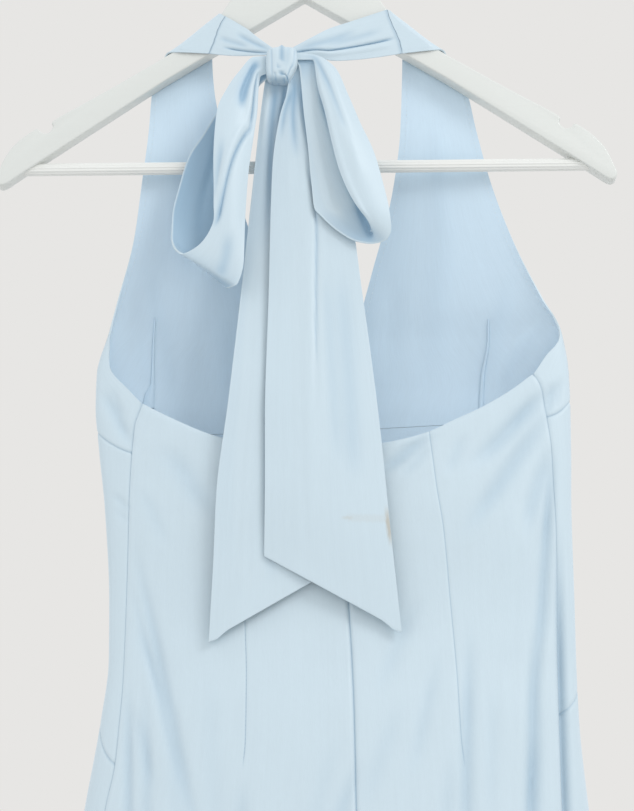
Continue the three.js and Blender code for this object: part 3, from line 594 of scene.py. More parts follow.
class Paint:
    """A material while its nodes are laid."""

    def __init__(self, name: str) -> None:
        """Starts an empty material with its output."""
        self.material = bpy.data.materials.new(name)
        self.material.use_nodes = True
        self.tree = self.material.node_tree
        self.tree.nodes.clear()
        self.output = self.node("ShaderNodeOutputMaterial", {}, {})

    def node(self, kind: str, settings: dict[str, object],
             values: dict[str | int, object]) -> bpy.types.Node:
        """Adds a node.

        Args:
            kind: The node's type.
            settings: Its settings, set before its sockets, with a ramp's stops under "stops".
            values: What its sockets hold or are linked to, under the sockets' names or numbers.

        Returns:
            The node.
        """
        node = self.tree.nodes.new(kind)
        for name, setting in settings.items():
            if name == "stops":
                self._stops(node, setting)
            else:
                setattr(node, name, setting)
        for name, value in values.items():
            socket = node.inputs[name]
            if isinstance(value, Number):
                self.tree.links.new(value.socket, socket)
            elif isinstance(value, Socket):
                self.tree.links.new(value, socket)
            elif isinstance(value, tuple) and socket.type == "RGBA" and len(value) == 3:
                socket.default_value = (*value, 1.0)
            else:
                socket.default_value = value
        return node

    def _stops(self, node: bpy.types.Node, stops: Sequence[tuple[float, float]]) -> None:
        """Gives a ramp its grey stops.

        Args:
            node: The ramp.
            stops: The place and the grey of each stop.
        """
        ramp = node.color_ramp
        while len(ramp.elements) < len(stops):
            ramp.elements.new(1.0)
        for element, (place, grey) in zip(ramp.elements, stops):
            element.position = place
            element.color = (grey, grey, grey, 1.0)

    def mapped(self, scale: tuple[float, float, float], flat: bool) -> Socket:
        """Coordinates in metres times a scale, on the cloth's own UV map or on the object."""
        source = self.node("ShaderNodeTexCoord", {}, {}).outputs["UV" if flat else "Object"]
        return self.node("ShaderNodeMapping", {}, {"Vector": source, "Scale": scale}).outputs[0]

    def noise(self, scale: tuple[float, float, float], detail: float, flat: bool = True) -> Number:
        """Noise between 0 and 1, with as many cells a metre along each direction as scale says."""
        node = self.node(
            "ShaderNodeTexNoise", {},
            {"Vector": self.mapped(scale, flat), "Scale": 1.0, "Detail": detail},
        )
        return Number(self, node.outputs[0])

    def place(self, flat: bool) -> tuple[Number, ...]:
        """The place on the cloth's own UV map or on the object, in metres."""
        source = self.node("ShaderNodeTexCoord", {}, {}).outputs["UV" if flat else "Object"]
        parts = self.node("ShaderNodeSeparateXYZ", {}, {0: source})
        return tuple(Number(self, part) for part in parts.outputs)

    def attribute(self, name: str) -> Number:
        """A number that the mesh carries at its points."""
        return Number(self, self.node(
            "ShaderNodeAttribute", {"attribute_name": name}, {}).outputs["Fac"])

    def blend(self, mode: str, factor: "Number | float", first: "Colour | Socket",
              second: "Colour | Socket") -> Socket:
        """One colour over another.

        Args:
            mode: The mix node's way of blending.
            factor: How much of the second colour is taken.
            first: The colour below.
            second: The colour above.

        Returns:
            The blended colour.
        """
        node = self.node("ShaderNodeMix", {"data_type": "RGBA", "blend_type": mode}, {0: factor})
        for index, value in ((6, first), (7, second)):
            if isinstance(value, tuple):
                node.inputs[index].default_value = (*value, 1.0)
            else:
                self.tree.links.new(value, node.inputs[index])
        return node.outputs[2]

    def bump(self, height: Number, distance: float, strength: float) -> Socket:
        """A normal from a height between 0 and 1, as many metres deep as distance says."""
        return self.node(
            "ShaderNodeBump", {}, {"Height": height, "Distance": distance, "Strength": strength},
        ).outputs[0]

    def surface(self, values: dict[str, object]) -> Material:
        """Ends the material with its shader and gives it back."""
        shader = self.node("ShaderNodeBsdfPrincipled", {}, values)
        self.tree.links.new(shader.outputs[0], self.output.inputs["Surface"])
        return self.material


# Finishes


def darker(colour: Colour, share: float) -> Colour:
    """A colour with each of its parts at a share of itself."""
    return tuple(share * part for part in colour)


@dataclass(frozen=True)
class Satin:
    """Polyester satin: long floats along the cloth and a soft sheen, with painted shade that deepens its
    colour in hollows and darkens it along seams.
    """

    name: str
    colour: Colour
    # Painted shade: a deeper colour mixed in at the hollows of folds, and a dark painted shadow along
    # seams
    fold_shade_colour: Colour
    seam_shadow_colour: Colour = (0.20, 0.33, 0.44)
    roughness: float = 0.42
    sheen: float = 0.35
    specular: float = 0.45
    streak: float = 0.05
    stained: bool = False

    def material(self) -> Material:
        """Lays the satin's nodes.

        Returns:
            The material.
        """
        paint = Paint(self.name)
        floats = paint.noise((1400.0, 90.0, 1.0), 3.0)
        slubs = paint.noise((260.0, 9.0, 1.0), 2.0)
        cloud = paint.noise((22.0, 14.0, 1.0), 3.0)
        hollow = paint.attribute("hollow")
        seam = paint.attribute("seam")
        # Painted shade: the hollow attribute mixes a deeper colour in at the foot of folds, creases and
        # flutes
        colour = paint.blend("MIX", hollow, self.colour, self.fold_shade_colour)
        light = 1.0 + (floats - 0.5) * self.streak + (slubs - 0.5) * 0.05 + (cloud - 0.5) * 0.05
        grey = paint.node("ShaderNodeCombineColor", {}, {0: light, 1: light, 2: light}).outputs[0]
        colour = paint.blend("MULTIPLY", 1.0, colour, grey)
        if self.stained:
            colour = self._stains(paint, colour)
        # Painted shadow: the seam attribute darkens the colour along seams, darts and the zip
        colour = paint.blend("MIX", seam, colour, self.seam_shadow_colour)
        weave = floats * 0.7 + paint.noise((2200.0, 2200.0, 1.0), 1.0) * 0.3
        wrinkle = paint.noise((70.0, 26.0, 1.0), 2.0)
        normal = paint.bump(weave * 0.35 + wrinkle * 0.65, 0.0004, 0.5)
        return paint.surface({
            "Base Color": colour,
            "Roughness": self.roughness + (floats - 0.5) * 0.12 + (cloud - 0.5) * 0.06,
            "Normal": normal,
            "Specular IOR Level": self.specular,
            "Sheen Weight": self.sheen,
            "Sheen Roughness": 0.45,
        })

    def _stains(self, paint: Paint, colour: Socket) -> Socket:
        """Two brown marks near the right tail's outer edge, joined by a faint trace.

        Args:
            paint: The material's paint.
            colour: The cloth's colour.

        Returns:
            The colour with the marks in it.
        """
        x, _, z = paint.place(flat=False)
        ragged = (paint.noise((900.0, 300.0, 1.0), 4.0) - 0.5) * 0.003
        slanted = x + z * Stain.MARK_SLANT.value + ragged
        wide = 1.0 - slanted.away_from(Stain.MARK_X.value).step(0.0003, 0.0026)
        tall = 1.0 - (z + ragged).away_from(Stain.MARK_Z.value).step(0.0030, 0.0165)
        level = 1.0 - (z + ragged).away_from(Stain.SPOT_Z.value).step(0.0003, 0.0018)
        spot = (1.0 - (x + ragged).away_from(Stain.SPOT_X.value).step(0.0008, 0.0050)) * level
        between = (x - Stain.SPOT_X.value).step(-0.003, 0.003) * (
            1.0 - (x - Stain.MARK_TOP_X.value).step(-0.003, 0.001))
        trace = between * (1.0 - (z + ragged).away_from(Stain.SPOT_Z.value).step(0.001, 0.004))
        marked = paint.blend("MIX", wide * tall * 0.60, colour, (0.40, 0.33, 0.22))
        marked = paint.blend("MIX", spot * 0.25, marked, (0.46, 0.42, 0.32))
        return paint.blend("MIX", trace * 0.14, marked, (0.50, 0.46, 0.38))


class Stain(Enum):
    """Where the brown marks lie on the right tail, in metres on the dress."""

    MARK_X = 0.0014
    MARK_SLANT = 0.1134
    MARK_Z = -0.5045
    MARK_TOP_X = 0.0580
    SPOT_X = 0.0303
    SPOT_Z = -0.4997


@dataclass(frozen=True)
class Thread:
    """Twisted sewing thread."""

    name: str
    colour: Colour

    def material(self) -> Material:
        """Lays the thread's nodes.

        Returns:
            The material.
        """
        paint = Paint(self.name)
        twist = paint.noise((3000.0, 3000.0, 3000.0), 2.0, flat=False)
        colour = paint.blend("MIX", twist, self.colour, darker(self.colour, 0.8))
        return paint.surface({
            "Base Color": colour,
            "Roughness": 0.55 + twist * 0.15,
            "Normal": paint.bump(twist, 0.0002, 0.4),
        })


@dataclass(frozen=True)
class WhitePaint:
    """White paint on wood, with a faint grain under it and a few small marks."""

    name: str
    colour: Colour = (0.675, 0.690, 0.655)
    roughness: float = 0.42

    def material(self) -> Material:
        """Lays the paint's nodes.

        Returns:
            The material.
        """
        paint = Paint(self.name)
        grain = paint.noise((14.0, 300.0, 300.0), 3.0, flat=False)
        cloud = paint.noise((18.0, 18.0, 18.0), 3.0, flat=False)
        speck = paint.noise((420.0, 420.0, 420.0), 2.0, flat=False).step(0.73, 0.80)
        colour = paint.blend(
            "MIX", grain * 0.5 + cloud * 0.5, self.colour, darker(self.colour, 0.95))
        colour = paint.blend("MIX", speck * 0.35, colour, (0.55, 0.55, 0.50))
        return paint.surface({
            "Base Color": colour,
            "Roughness": self.roughness + grain * 0.10,
            "Normal": paint.bump(grain * 0.6 + cloud * 0.4, 0.0003, 0.35),
            "Coat Weight": 0.15,
        })


@dataclass(frozen=True)
class Metal:
    """Drawn or die-cast metal, bare or under enamel."""

    name: str
    colour: Colour
    roughness: float
    metallic: float

    def material(self) -> Material:
        """Lays the metal's nodes.

        Returns:
            The material.
        """
        paint = Paint(self.name)
        drawn = paint.noise((900.0, 900.0, 60.0), 3.0, flat=False)
        worn = paint.noise((220.0, 220.0, 220.0), 4.0, flat=False).step(0.6, 0.75)
        colour = paint.blend("MIX", worn * 0.3, self.colour, darker(self.colour, 0.82))
        return paint.surface({
            "Base Color": colour,
            "Roughness": self.roughness + drawn * 0.12 + worn * 0.08,
            "Metallic": self.metallic,
            "Normal": paint.bump(drawn, 0.0001, 0.3),
        })


@dataclass(frozen=True)
class Tape:
    """Woven polyester zip tape, ribbed along its length."""

    name: str
    colour: Colour

    def material(self) -> Material:
        """Lays the tape's nodes.

        Returns:
            The material.
        """
        paint = Paint(self.name)
        across, along, _ = paint.place(flat=True)
        rib = (across * 5200.0).sine()
        pick = (along * 7400.0).sine()
        weave = rib * pick * 0.5 + 0.5
        colour = paint.blend("MIX", weave, self.colour, darker(self.colour, 0.78))
        return paint.surface({
            "Base Color": colour,
            "Roughness": 0.75 + weave * 0.1,
            "Normal": paint.bump(weave, 0.0003, 0.6),
        })


@dataclass(frozen=True)
class FloorPaint:
    """A plain pale floor with a faint unevenness."""

    name: str
    colour: Colour

    def material(self) -> Material:
        """Lays the floor's nodes."""
        paint = Paint(self.name)
        cloud = paint.noise((3.0, 3.0, 3.0), 4.0, flat=False)
        colour = paint.blend("MIX", cloud, self.colour, darker(self.colour, 0.96))
        return paint.surface({"Base Color": colour, "Roughness": 0.7 + cloud * 0.1})


class Wardrobe:
    """Every finish of the object, made once."""

    def __init__(self) -> None:
        """Makes the materials."""
        face = (0.545, 0.650, 0.705)
        # Painted shade colour that the satin takes in the hollows of its folds
        deep = (0.275, 0.420, 0.545)
        self.satin = Satin("satin_face", face, deep).material()
        # The reverse is lighter and bluer than the face: partly the satin's own back, and partly painted
        # light for light that passes through the thin cloth into the shaded inside; its second colour is
        # painted shade for its folds
        self.reverse = Satin(
            "satin_reverse_lit", (0.590, 0.725, 0.825), (0.390, 0.555, 0.700),
            roughness=0.55, sheen=0.25, specular=0.3, streak=0.08,
        ).material()
        self.tie = Satin("tie_satin", face, deep).material()
        self.marked_tie = Satin("marked_tie_satin", face, deep, stained=True).material()
        self.shaded_thread = Thread("shaded_thread", (0.40, 0.52, 0.62)).material()
        self.thread = Thread("satin_thread", (0.74, 0.83, 0.89)).material()
        self.wood = WhitePaint("white_painted_wood").material()
        # The bar's paint is lighter than the arms' paint: painted light that offsets the shade in its
        # ribs' grooves
        self.bar = WhitePaint("white_bar_with_painted_light", (0.780, 0.785, 0.750)).material()
        self.steel = Metal("plated_hook_steel", (0.62, 0.63, 0.64), 0.2, 1.0).material()
        self.enamel = Metal("blue_zip_enamel", (0.47, 0.61, 0.70), 0.38, 0.25).material()
        self.tape = Tape("woven_zip_tape", (0.46, 0.60, 0.69)).material()
        self.floor = FloorPaint("pale_floor", (0.80, 0.79, 0.775)).material()


# Making meshes


def deselect() -> None:
    """Leaves nothing selected."""
    bpy.ops.object.select_all(action="DESELECT")


class Maker:
    """Makes a named mesh from a primitive, as by hand, and finishes it."""

    def __init__(self, name: str) -> None:
        """Starts with nothing selected."""
        self.name = name
        deselect()
        self.obj: Piece | None = None

    def adopt(self) -> Piece:
        """Takes the primitive that was just added."""
        self.obj = bpy.context.active_object
        self.obj.name = self.name
        self.obj.data.name = self.name
        return self.obj

    def edit(self, *operators: Callable[[], object]) -> None:
        """Runs operators on the whole mesh in edit mode."""
        bpy.ops.object.mode_set(mode="EDIT")
        bpy.ops.mesh.select_all(action="SELECT")
        for operator in operators:
            operator()
        bpy.ops.object.mode_set(mode="OBJECT")

    def grid(self, columns: int, rows: int, place: Place) -> None:
        """A grid primitive whose points are laid on a surface.

        Args:
            columns: How many faces across.
            rows: How many faces along.
            place: The point in millimetres at a share across and a share along.
        """
        bpy.ops.mesh.primitive_grid_add(x_subdivisions=columns, y_subdivisions=rows, size=1.0)
        obj = self.adopt()
        for vertex in obj.data.vertices:
            vertex.co = place(vertex.co.x + 0.5, vertex.co.y + 0.5) * MM

    def sheet(self, columns: int, rows: int, lay: Lay) -> None:
        """A grid primitive laid as cloth, that carries the painted shade of its hollows and its seams'
        painted shadows.

        Args:
            columns: How many faces across.
            rows: How many faces along.
            lay: The point, the hollow and the seam's shadow at a share across and along.
        """
        hollows: list[float] = []
        seams: list[float] = []

        def place(u: float, v: float) -> Vector:
            """Keeps what the cloth carries at a point, and gives the point."""
            point, hollow, seam = lay(u, v)
            hollows.append(hollow)
            seams.append(seam)
            return point

        self.grid(columns, rows, place)
        self.carry("hollow", hollows)
        self.carry("seam", seams)

    def scale_uv(self, width: float, length: float) -> None:
        """Gives the UV map the cloth's real size, in metres."""
        for corner in self.obj.data.uv_layers.active.data:
            corner.uv = (corner.uv[0] * width, corner.uv[1] * length)

    def carry(self, name: str, values: Sequence[float]) -> None:
        """Stores a number at each point, for the material to read."""
        self.obj.data.attributes.new(name, "FLOAT", "POINT").data.foreach_set("value", values)

    def facing(self, outwards: Vector, columns: int) -> None:
        """Turns a grid's faces over if its middle one looks the other way."""
        faces = self.obj.data.polygons
        middle = len(faces) // columns // 2 * columns + columns // 2
        if faces[middle].normal.dot(outwards) < 0:
            self.edit(lambda: bpy.ops.mesh.flip_normals())

    def close(self) -> None:
        """Merges a grid that was rolled up, and points its faces outwards."""
        self.edit(
            lambda: bpy.ops.mesh.remove_doubles(threshold=0.00002),
            lambda: bpy.ops.mesh.normals_make_consistent(inside=False),
        )

    def modify(self, kind: str, settings: dict[str, object]) -> None:
        """Adds a modifier with its settings, and applies it."""
        modifier = self.obj.modifiers.new(kind.lower(), kind)
        for name, setting in settings.items():
            setattr(modifier, name, setting)
        bpy.context.view_layer.objects.active = self.obj
        bpy.ops.object.modifier_apply(modifier=modifier.name)

    def thicken(self, thickness: float, other_side: bool = False) -> None:
        """Gives the sheet its thickness, in millimetres, with the second material on its inside."""
        self.modify("SOLIDIFY", {
            "thickness": thickness * MM, "offset": 0.0, "material_offset": 1 if other_side else 0,
        })

    def round_edges(self, width: float, segments: int = 2, degrees: float = 55.0) -> None:
        """Rounds the sharp edges by a width in millimetres."""
        self.modify("BEVEL", {
            "width": width * MM, "segments": segments, "limit_method": "ANGLE",
            "angle_limit": math.radians(degrees), "use_clamp_overlap": True,
        })

    def dress(self, materials: Sequence[Material], slot: str, body: str = DRESS,
              instead_of: Sequence[str] = (), degrees: float = 40.0) -> Piece:
        """Finishes the piece, hangs it on its body and hides the solids that it takes the place of.

        Args:
            materials: Its materials, in slot order.
            slot: The record's slot that its finish comes from; it is not used.
            body: The body that it rides on.
            instead_of: The solids that it takes the place of.
            degrees: The angle past which an edge is shown sharp.

        Returns:
            The finished object.
        """
        mesh = self.obj.data
        if len(mesh.materials) == 0:
            for material in materials:
                mesh.materials.append(material)
        deselect()
        self.obj.select_set(True)
        bpy.context.view_layer.objects.active = self.obj
        bpy.ops.object.shade_smooth_by_angle(angle=math.radians(degrees))
        self.obj.select_set(False)
        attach(self.obj, body)
        if instead_of:
            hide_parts(*instead_of)
        log.info("%s: %d faces", self.name, len(mesh.polygons))
        return self.obj


@dataclass(frozen=True)
class Cut:
    """The flat cut of a piece of cloth, in metres, and its area where it isn't a rectangle."""

    width: float
    length: float
    area: float | None = None


# Panels


@dataclass
class PanelMesh:
    """A fine panel of the dress with its seam lines and hollows."""

    name: str
    columns: int
    rows: int
    cut: Cut
    thickness: float = 1.0

    def build(self, lay: Lay, outwards: Vector, wardrobe: Wardrobe) -> None:
        """Makes the panel.

        Args:
            lay: The point of the cloth at a share across and along, with its hollow and its
                seam's shadow.
            outwards: The way that the panel's middle looks.
            wardrobe: The finishes.
        """
        maker = Maker(f"{self.name}_satin")
        maker.sheet(self.columns, self.rows, lay)
        maker.scale_uv(self.cut.width, self.cut.length)
        maker.facing(outwards, self.columns)
        maker.obj.data.materials.append(wardrobe.satin)
        maker.obj.data.materials.append(wardrobe.reverse)
        maker.thicken(self.thickness, other_side=True)
        panel = maker.dress([], "satin", instead_of=[self.name])


@dataclass
class Backs:
    """The two back panels, each with its dart, from the low back's edge to the hem."""

    form: DressForm
    wardrobe: Wardrobe
    gap: float = 0.15
    fine_until: float = -740.0
    fine_share: float = 0.62
    side_roll: Trace = Trace(0.45, 1.5)
    zip_roll: Trace = Trace(1.5, 1.5)
    dart_roll: Trace = Trace(0.35, 1.1)
    edge_roll: Trace = Trace(0.9, 1.5)
    # Painted shadow along the side seam, the zip and the dart: its strength and width in mm
    side_shadow: Trace = Trace(0.35, 0.45)
    zip_shadow: Trace = Trace(0.8, 0.7)
    dart_seam_shadow: Trace = Trace(0.50, 0.45)
    crowding: float = 0.78
    top_crowding: float = 0.10
    darts: dict[Side, Table] = field(default_factory=lambda: {
        Side.LEFT: Table(("z", "x"), [
            (-440, -43), (-567, -39), (-608, -37.6), (-649, -37.9), (-670, -39.5),
            (-800, -46), (-1500, -66),
        ]),
        Side.RIGHT: Table(("z", "x"), [
            (-437, 87.5), (-475, 92), (-506, 96.6), (-555, 100.6), (-602, 104.1),
            (-649, 106.5), (-673, 109.3), (-800, 116), (-1500, 156),
        ]),
    })
    dart_end: float = -672.0
    dart_fade: float = 14.0
    cuts: dict[Side, Cut] = field(default_factory=lambda: {
        Side.LEFT: Cut(0.34, 1.09, 0.240), Side.RIGHT: Cut(0.30, 1.11, 0.207),
    })

    def x_at(self, side: Side, u: float, z: float) -> float:
        """The x a share u of the way from the side seam, over the dart, to the centre back.

        Args:
            side: Which side.
            u: The share across.
            z: The height, in mm.

        Returns:
            The x, in mm.
        """
        edge = self.form.side_seam.at(z)[side.index] - side.value * self.gap
        centre = self.form.centre_back.value(z) + side.value * self.gap
        dart = self.darts[side].value(z)
        if u < 0.5:
            return mix(edge, dart, crowd(2.0 * u, self.crowding))
        return mix(dart, centre, crowd(2.0 * u - 1.0, self.crowding))

    def z_at(self, side: Side, u: float, v: float) -> float:
        """The height a share v of the way from the top edge to the hem, closer together above."""
        top = settle(-430.0, lambda z: self.form.back_top.value(self.x_at(side, u, z)))
        if v < self.fine_share:
            part = v / self.fine_share
            return mix(top, self.fine_until, part - self.top_crowding * math.sin(math.pi * part))
        return mix(self.fine_until, HEM_Z, (v - self.fine_share) / (1.0 - self.fine_share))

    def build(self, side: Side) -> None:
        """Makes one back panel.

        Args:
            side: Which side.
        """
        def relief(u: float, z: float) -> tuple[float, float]:
            """How far a seam draws the cloth in, and how much painted shadow its line gets.

            Args:
                u: The share across.
                z: The height, in mm.

            Returns:
                The depth in mm, and the painted shadow from 0 to 1.
            """
            x = self.x_at(side, u, z)
            to_side = abs(x - self.form.side_seam.at(z)[side.index])
            to_centre = abs(x - self.form.centre_back.value(z))
            to_dart = abs(x - self.darts[side].value(z))
            held = smooth((z - self.dart_end) / self.dart_fade)
            draw = self.side_roll.at(to_side) + self.zip_roll.at(to_centre)
            # How much painted shadow the seams put here
            line = self.side_shadow.at(to_side) + self.zip_shadow.at(to_centre)
            return draw + self.dart_roll.at(to_dart) * held, line + self.dart_seam_shadow.at(to_dart) * held

        def lay(u: float, v: float) -> Laid:
            """The cloth at a share across and along, rolled over at its top edge.

            Args:
                u: The share across.
                v: The share along.

            Returns:
                The point in mm, its hollow and its seam's shadow.
            """
            z = self.z_at(side, u, v)
            draw, line = relief(u, z)
            draw += self.edge_roll.at(self.z_at(side, u, 0.0) - z)
            degrees = self.form.section(z).angle(self.x_at(side, u, z), Face.BACK)
            point, hollow = self.form.laid(degrees, z, -draw)
            return point, hollow, min(line, 1.0)

        mesh = PanelMesh(f"back_{side.word}", 112, 220, self.cuts[side])
        mesh.build(lay, Vector((0.0, -1.0, 0.0)), self.wardrobe)


@dataclass
class FrontSkirt:
    """The front between the side seams: the midriff, and the skirt from the hip seam to the hem."""

    form: DressForm
    wardrobe: Wardrobe
    lap: float = 0.12
    roll: Trace = Trace(0.7, 1.4)
    # Painted shadow along the seams and the side seams: its strength and width in mm
    seam_shadow: Trace = Trace(0.4, 0.6)
    side_shadow: Trace = Trace(0.3, 0.6)
    round_front: float = 400.0
    crowding: float = 0.45
    seam_crowding: float = 0.6
    hem_spread: float = 1.25
    midriff_cut: Cut = Cut(0.40, 0.27, 0.059)
    skirt_cut: Cut = Cut(0.86, 0.96, 0.525)

    def z_at(self, u: float, v: float, top: Table, low: Table | None) -> float:
        """The height a share v of the way down between two seams.

        Args:
            u: The share across.
            v: The share of the way down.
            top: The upper seam.
            low: The lower seam, or None at the hem.

        Returns:
            The height, in mm.
        """
        def following(z: float) -> float:
            """The height that the seams give where the cloth is at this height."""
            degrees = self.form.between_sides(u, z, self.lap)
            end = HEM_Z if low is None else low.value(degrees) + self.lap
            return mix(top.value(degrees) - self.lap, end, v)

        return settle(-600.0, following)

    def build(self, name: str, rows: int, cut: Cut, top: Table, low: Table | None) -> None:
        """Makes the midriff or the skirt.

        Args:
            name: The piece's name.
            rows: How many faces along.
            cut: Its flat cut.
            top: The seam along its top edge.
            low: The seam along its lower edge, or None for the hem.
        """
        def lay(u: float, v: float) -> Laid:
            """The cloth at a share across and along, drawn in at its seams.

            Args:
                u: The share across.
                v: The share along.

            Returns:
                The point in mm, its hollow and its seam's shadow.
            """
            across = crowd(u, self.crowding)
            along = v ** self.hem_spread if low is None else crowd(v, self.seam_crowding)
            z = self.z_at(across, along, top, low)
            degrees = self.form.between_sides(across, z, self.lap)
            to_seam = abs(top.value(degrees) - z)
            if low is not None:
                to_seam = min(to_seam, abs(low.value(degrees) - z))
            to_side = min(across, 1.0 - across) * self.round_front
            draw = self.roll.at(to_seam) + self.roll.at(to_side)
            shadow = self.seam_shadow.at(to_seam) + self.side_shadow.at(to_side)
            shown = self.form.raised(degrees)
            point, hollow = self.form.laid(degrees, z, -draw * shown)
            return point, hollow, min(shadow * shown, 1.0)

        mesh = PanelMesh(name, 190, rows, cut)
        mesh.build(lay, Vector((0.0, 1.0, 0.0)), self.wardrobe)


@dataclass
class HangerForm:
    """The hanger's own frame, tilted a little, and the line of its arm's top."""

    tilt: float = math.radians(0.6)
    arm_top: Table = Table(("x", "z"), [
        (57.5, -123), (61, -128.4), (66, -132.6), (73, -138.3), (82, -146), (90, -152.4),
        (97, -157.3), (105, -162.3), (110, -165.2), (125.8, -175), (152, -190.4), (179, -206.2),
    ])

    def turned(self, x: float, y: float, z: float) -> Vector:
        """A point of the hanger as it hangs."""
        return Vector((
            x * math.cos(self.tilt) - z * math.sin(self.tilt), y,
            x * math.sin(self.tilt) + z * math.cos(self.tilt),
        ))


@dataclass(frozen=True)
class NeckSeam:
    """The seam between a strap and its tie: its ends and how far it bows outwards."""

    top_x: float
    top_z: float
    low_x: float
    low_z: float
    bow: float
    sway: float
    pucker: float = 0.12
    puckers: float = 9.0
    y: float = -8.6

    def point(self, u: float, inwards: float) -> Vector:
        """A point a share u down the seam, moved towards the neck."""
        side = math.copysign(1.0, self.top_x)
        x = mix(self.top_x, self.low_x, u) + self.bow * math.sin(math.pi * u) - side * inwards
        x += self.sway * math.sin(2.0 * math.pi * u) + self.pucker * math.sin(self.puckers * math.pi * u)
        return Vector((x, self.y, mix(self.top_z, self.low_z, u)))


NECK_SEAMS = {
    Side.LEFT: NeckSeam(-55.9, -130.4, -67.1, -158.6, -0.5, -0.5),
    Side.RIGHT: NeckSeam(60.0, -125.4, 70.5, -158.5, 0.6, -0.6),
}


@dataclass
class Bodice:
    """The two halter fronts, which rise behind the hanger's arms, lie over them and end at the tie."""

    form: DressForm
    hanger: HangerForm
    wardrobe: Wardrobe
    lap: float = 0.15
    inner_x: float = 61.5
    outer_x: float = 103.5
    behind_rise: float = -6.0
    form_share: float = 0.80
    roll: Trace = Trace(0.6, 1.3)
    # Painted shadow along the under-bust seam, the side seam and the strap's neck seam
    seam_shadow: Trace = Trace(0.4, 0.6)
    side_shadow: Trace = Trace(0.3, 0.7)
    strap_line: Trace = Trace(0.55, 0.9)
    crowding: float = 0.35
    height_crowding: float = 0.2
    over_arm: tuple[tuple[float, float, float, float], ...] = (
        (8.1, -1.2, -1.2, 0.5), (6.0, 1.9, 1.9, 1.5), (0.0, 2.6, 2.4, 3.0),
        (-6.0, 1.9, 1.6, 6.0), (-8.1, -1.2, -1.2, 8.5), (-8.4, -4.0, -2.6, 9.5),
    )
    straight_inner: float = 0.30
    straight_outer: float = 0.12
    seam_tops: dict[Side, float] = field(default_factory=lambda: {
        Side.LEFT: -414.2, Side.RIGHT: -392.7,
    })
    dart_lines: dict[Side, Table] = field(default_factory=lambda: {
        Side.LEFT: Table(("z", "x"), [(-345, -104.6), (-360, -104.9), (-410, -104.2)]),
        Side.RIGHT: Table(("z", "x"), [(-345, 131), (-360, 130.2), (-385, 125.4), (-411, 123.4)]),
    })
    dart_widths: dict[Side, Table] = field(default_factory=lambda: {
        Side.LEFT: Table(("z", "width"), [(-345, 0.6), (-392, 2.6), (-400, 6.5), (-410, 8.5)]),
        Side.RIGHT: Table(("z", "width"), [(-345, 0.6), (-380, 2.2), (-411, 3.4)]),
    })
    strap_reach: float = 400.0
    half_front: float = 150.0
    dart_ends: tuple[float, float] = (-345.0, -410.0)
    dart_proud: float = 1.0
    dart_bulge: float = 0.35
    dart_thickness: float = 0.5
    # How much painted shade the dart's allowance takes towards its free edge
    dart_flap_shade: float = 0.35
    dart_shadow: Trace = Trace(0.3, 0.2)
    dart_cut: Cut = Cut(0.010, 0.066, 0.00021)
    cuts: dict[Side, Cut] = field(default_factory=lambda: {
        Side.LEFT: Cut(0.19, 0.34, 0.0302), Side.RIGHT: Cut(0.20, 0.34, 0.0302),
    })

    def angle_at(self, side: Side, u: float, z: float) -> float:
        """The angle a share u of the way from the neck edge to the side.

        Args:
            side: Which side.
            u: The share across.
            z: The height, in mm.

        Returns:
            The angle round the form, in degrees.
        """
        at = self.form.section(z)
        lap = side.value * self.lap if z < -400 else 0.0
        front = at.angle(self.form.neck_edge.at(z)[side.index] + lap, Face.FRONT)
        if z > self.seam_tops[side]:
            armhole = self.form.armhole_left if side is Side.LEFT else self.form.armhole_right
            return mix(front, armhole.value(z), u)
        seam = self.form.side_seam.at(z)[side.index] + side.value * self.lap
        degrees = at.angle(seam, Face.BACK)
        return mix(front, degrees if side is Side.LEFT else 360.0 + degrees, u)

    def arm_point(self, side: Side, u: float, y: float, rises: tuple[float, float],
                  inset: float) -> Vector:
        """A point of the strap where it lies over the arm."""
        x = mix(self.inner_x, self.outer_x - inset, u)
        z = self.hanger.arm_top.value(x) + mix(rises[0], rises[1], u)
        return self.hanger.turned(side.value * x, y, z)

    def low_place(self, side: Side, u: float, up: float) -> tuple[float, float]:
        """The angle and height a share up between the under-bust seam and the arm."""
        top = self.arm_point(side, u, 0.0, (self.behind_rise, self.behind_rise), 0.0).z
        z = settle(-430.0, lambda guess: mix(
            self.form.under_bust.value(self.angle_at(side, u, guess)) + 2.0 * self.lap, top, up))
        return self.angle_at(side, u, z), z

    def strap_points(self, side: Side, u: float) -> list[Vector]:
        """The points over which the strap runs from the form, over the arm, to the neck seam.

        Args:
            side: Which side.
            u: The share across.

        Returns:
            The points, from the form upwards.
        """
        points = [self.form.point(*self.low_place(side, u, up)) for up in (0.955, 1.0)]
        for y, inner_rise, outer_rise, inset in self.over_arm:
            points.append(self.arm_point(side, u, y, (inner_rise, outer_rise), inset))
        end = NECK_SEAMS[side].point(u, -self.lap)
        straight = max(bell(u, self.straight_inner), bell(1.0 - u, self.straight_outer))
        crest = points[-3]
        for index, share in ((-2, 0.3), (-1, 0.55)):
            direct = crest.lerp(end, share)
            direct.y = points[index].y
            points[index] = points[index].lerp(direct, straight)
        start = points[-1]
        return points + [start.lerp(end, share) for share in (0.34, 0.68, 1.0)]

    def build(self, side: Side) -> None:
        """Makes one halter front.

        Args:
            side: Which side.
        """
        lines: dict[float, list[Vector]] = {}

        def strap_line(u: float) -> list[Vector]:
            """The strap's line at a share across, worked out once."""
            key = round(u, 6)
            if key not in lines:
                lines[key] = self.strap_points(side, u)
            return lines[key]

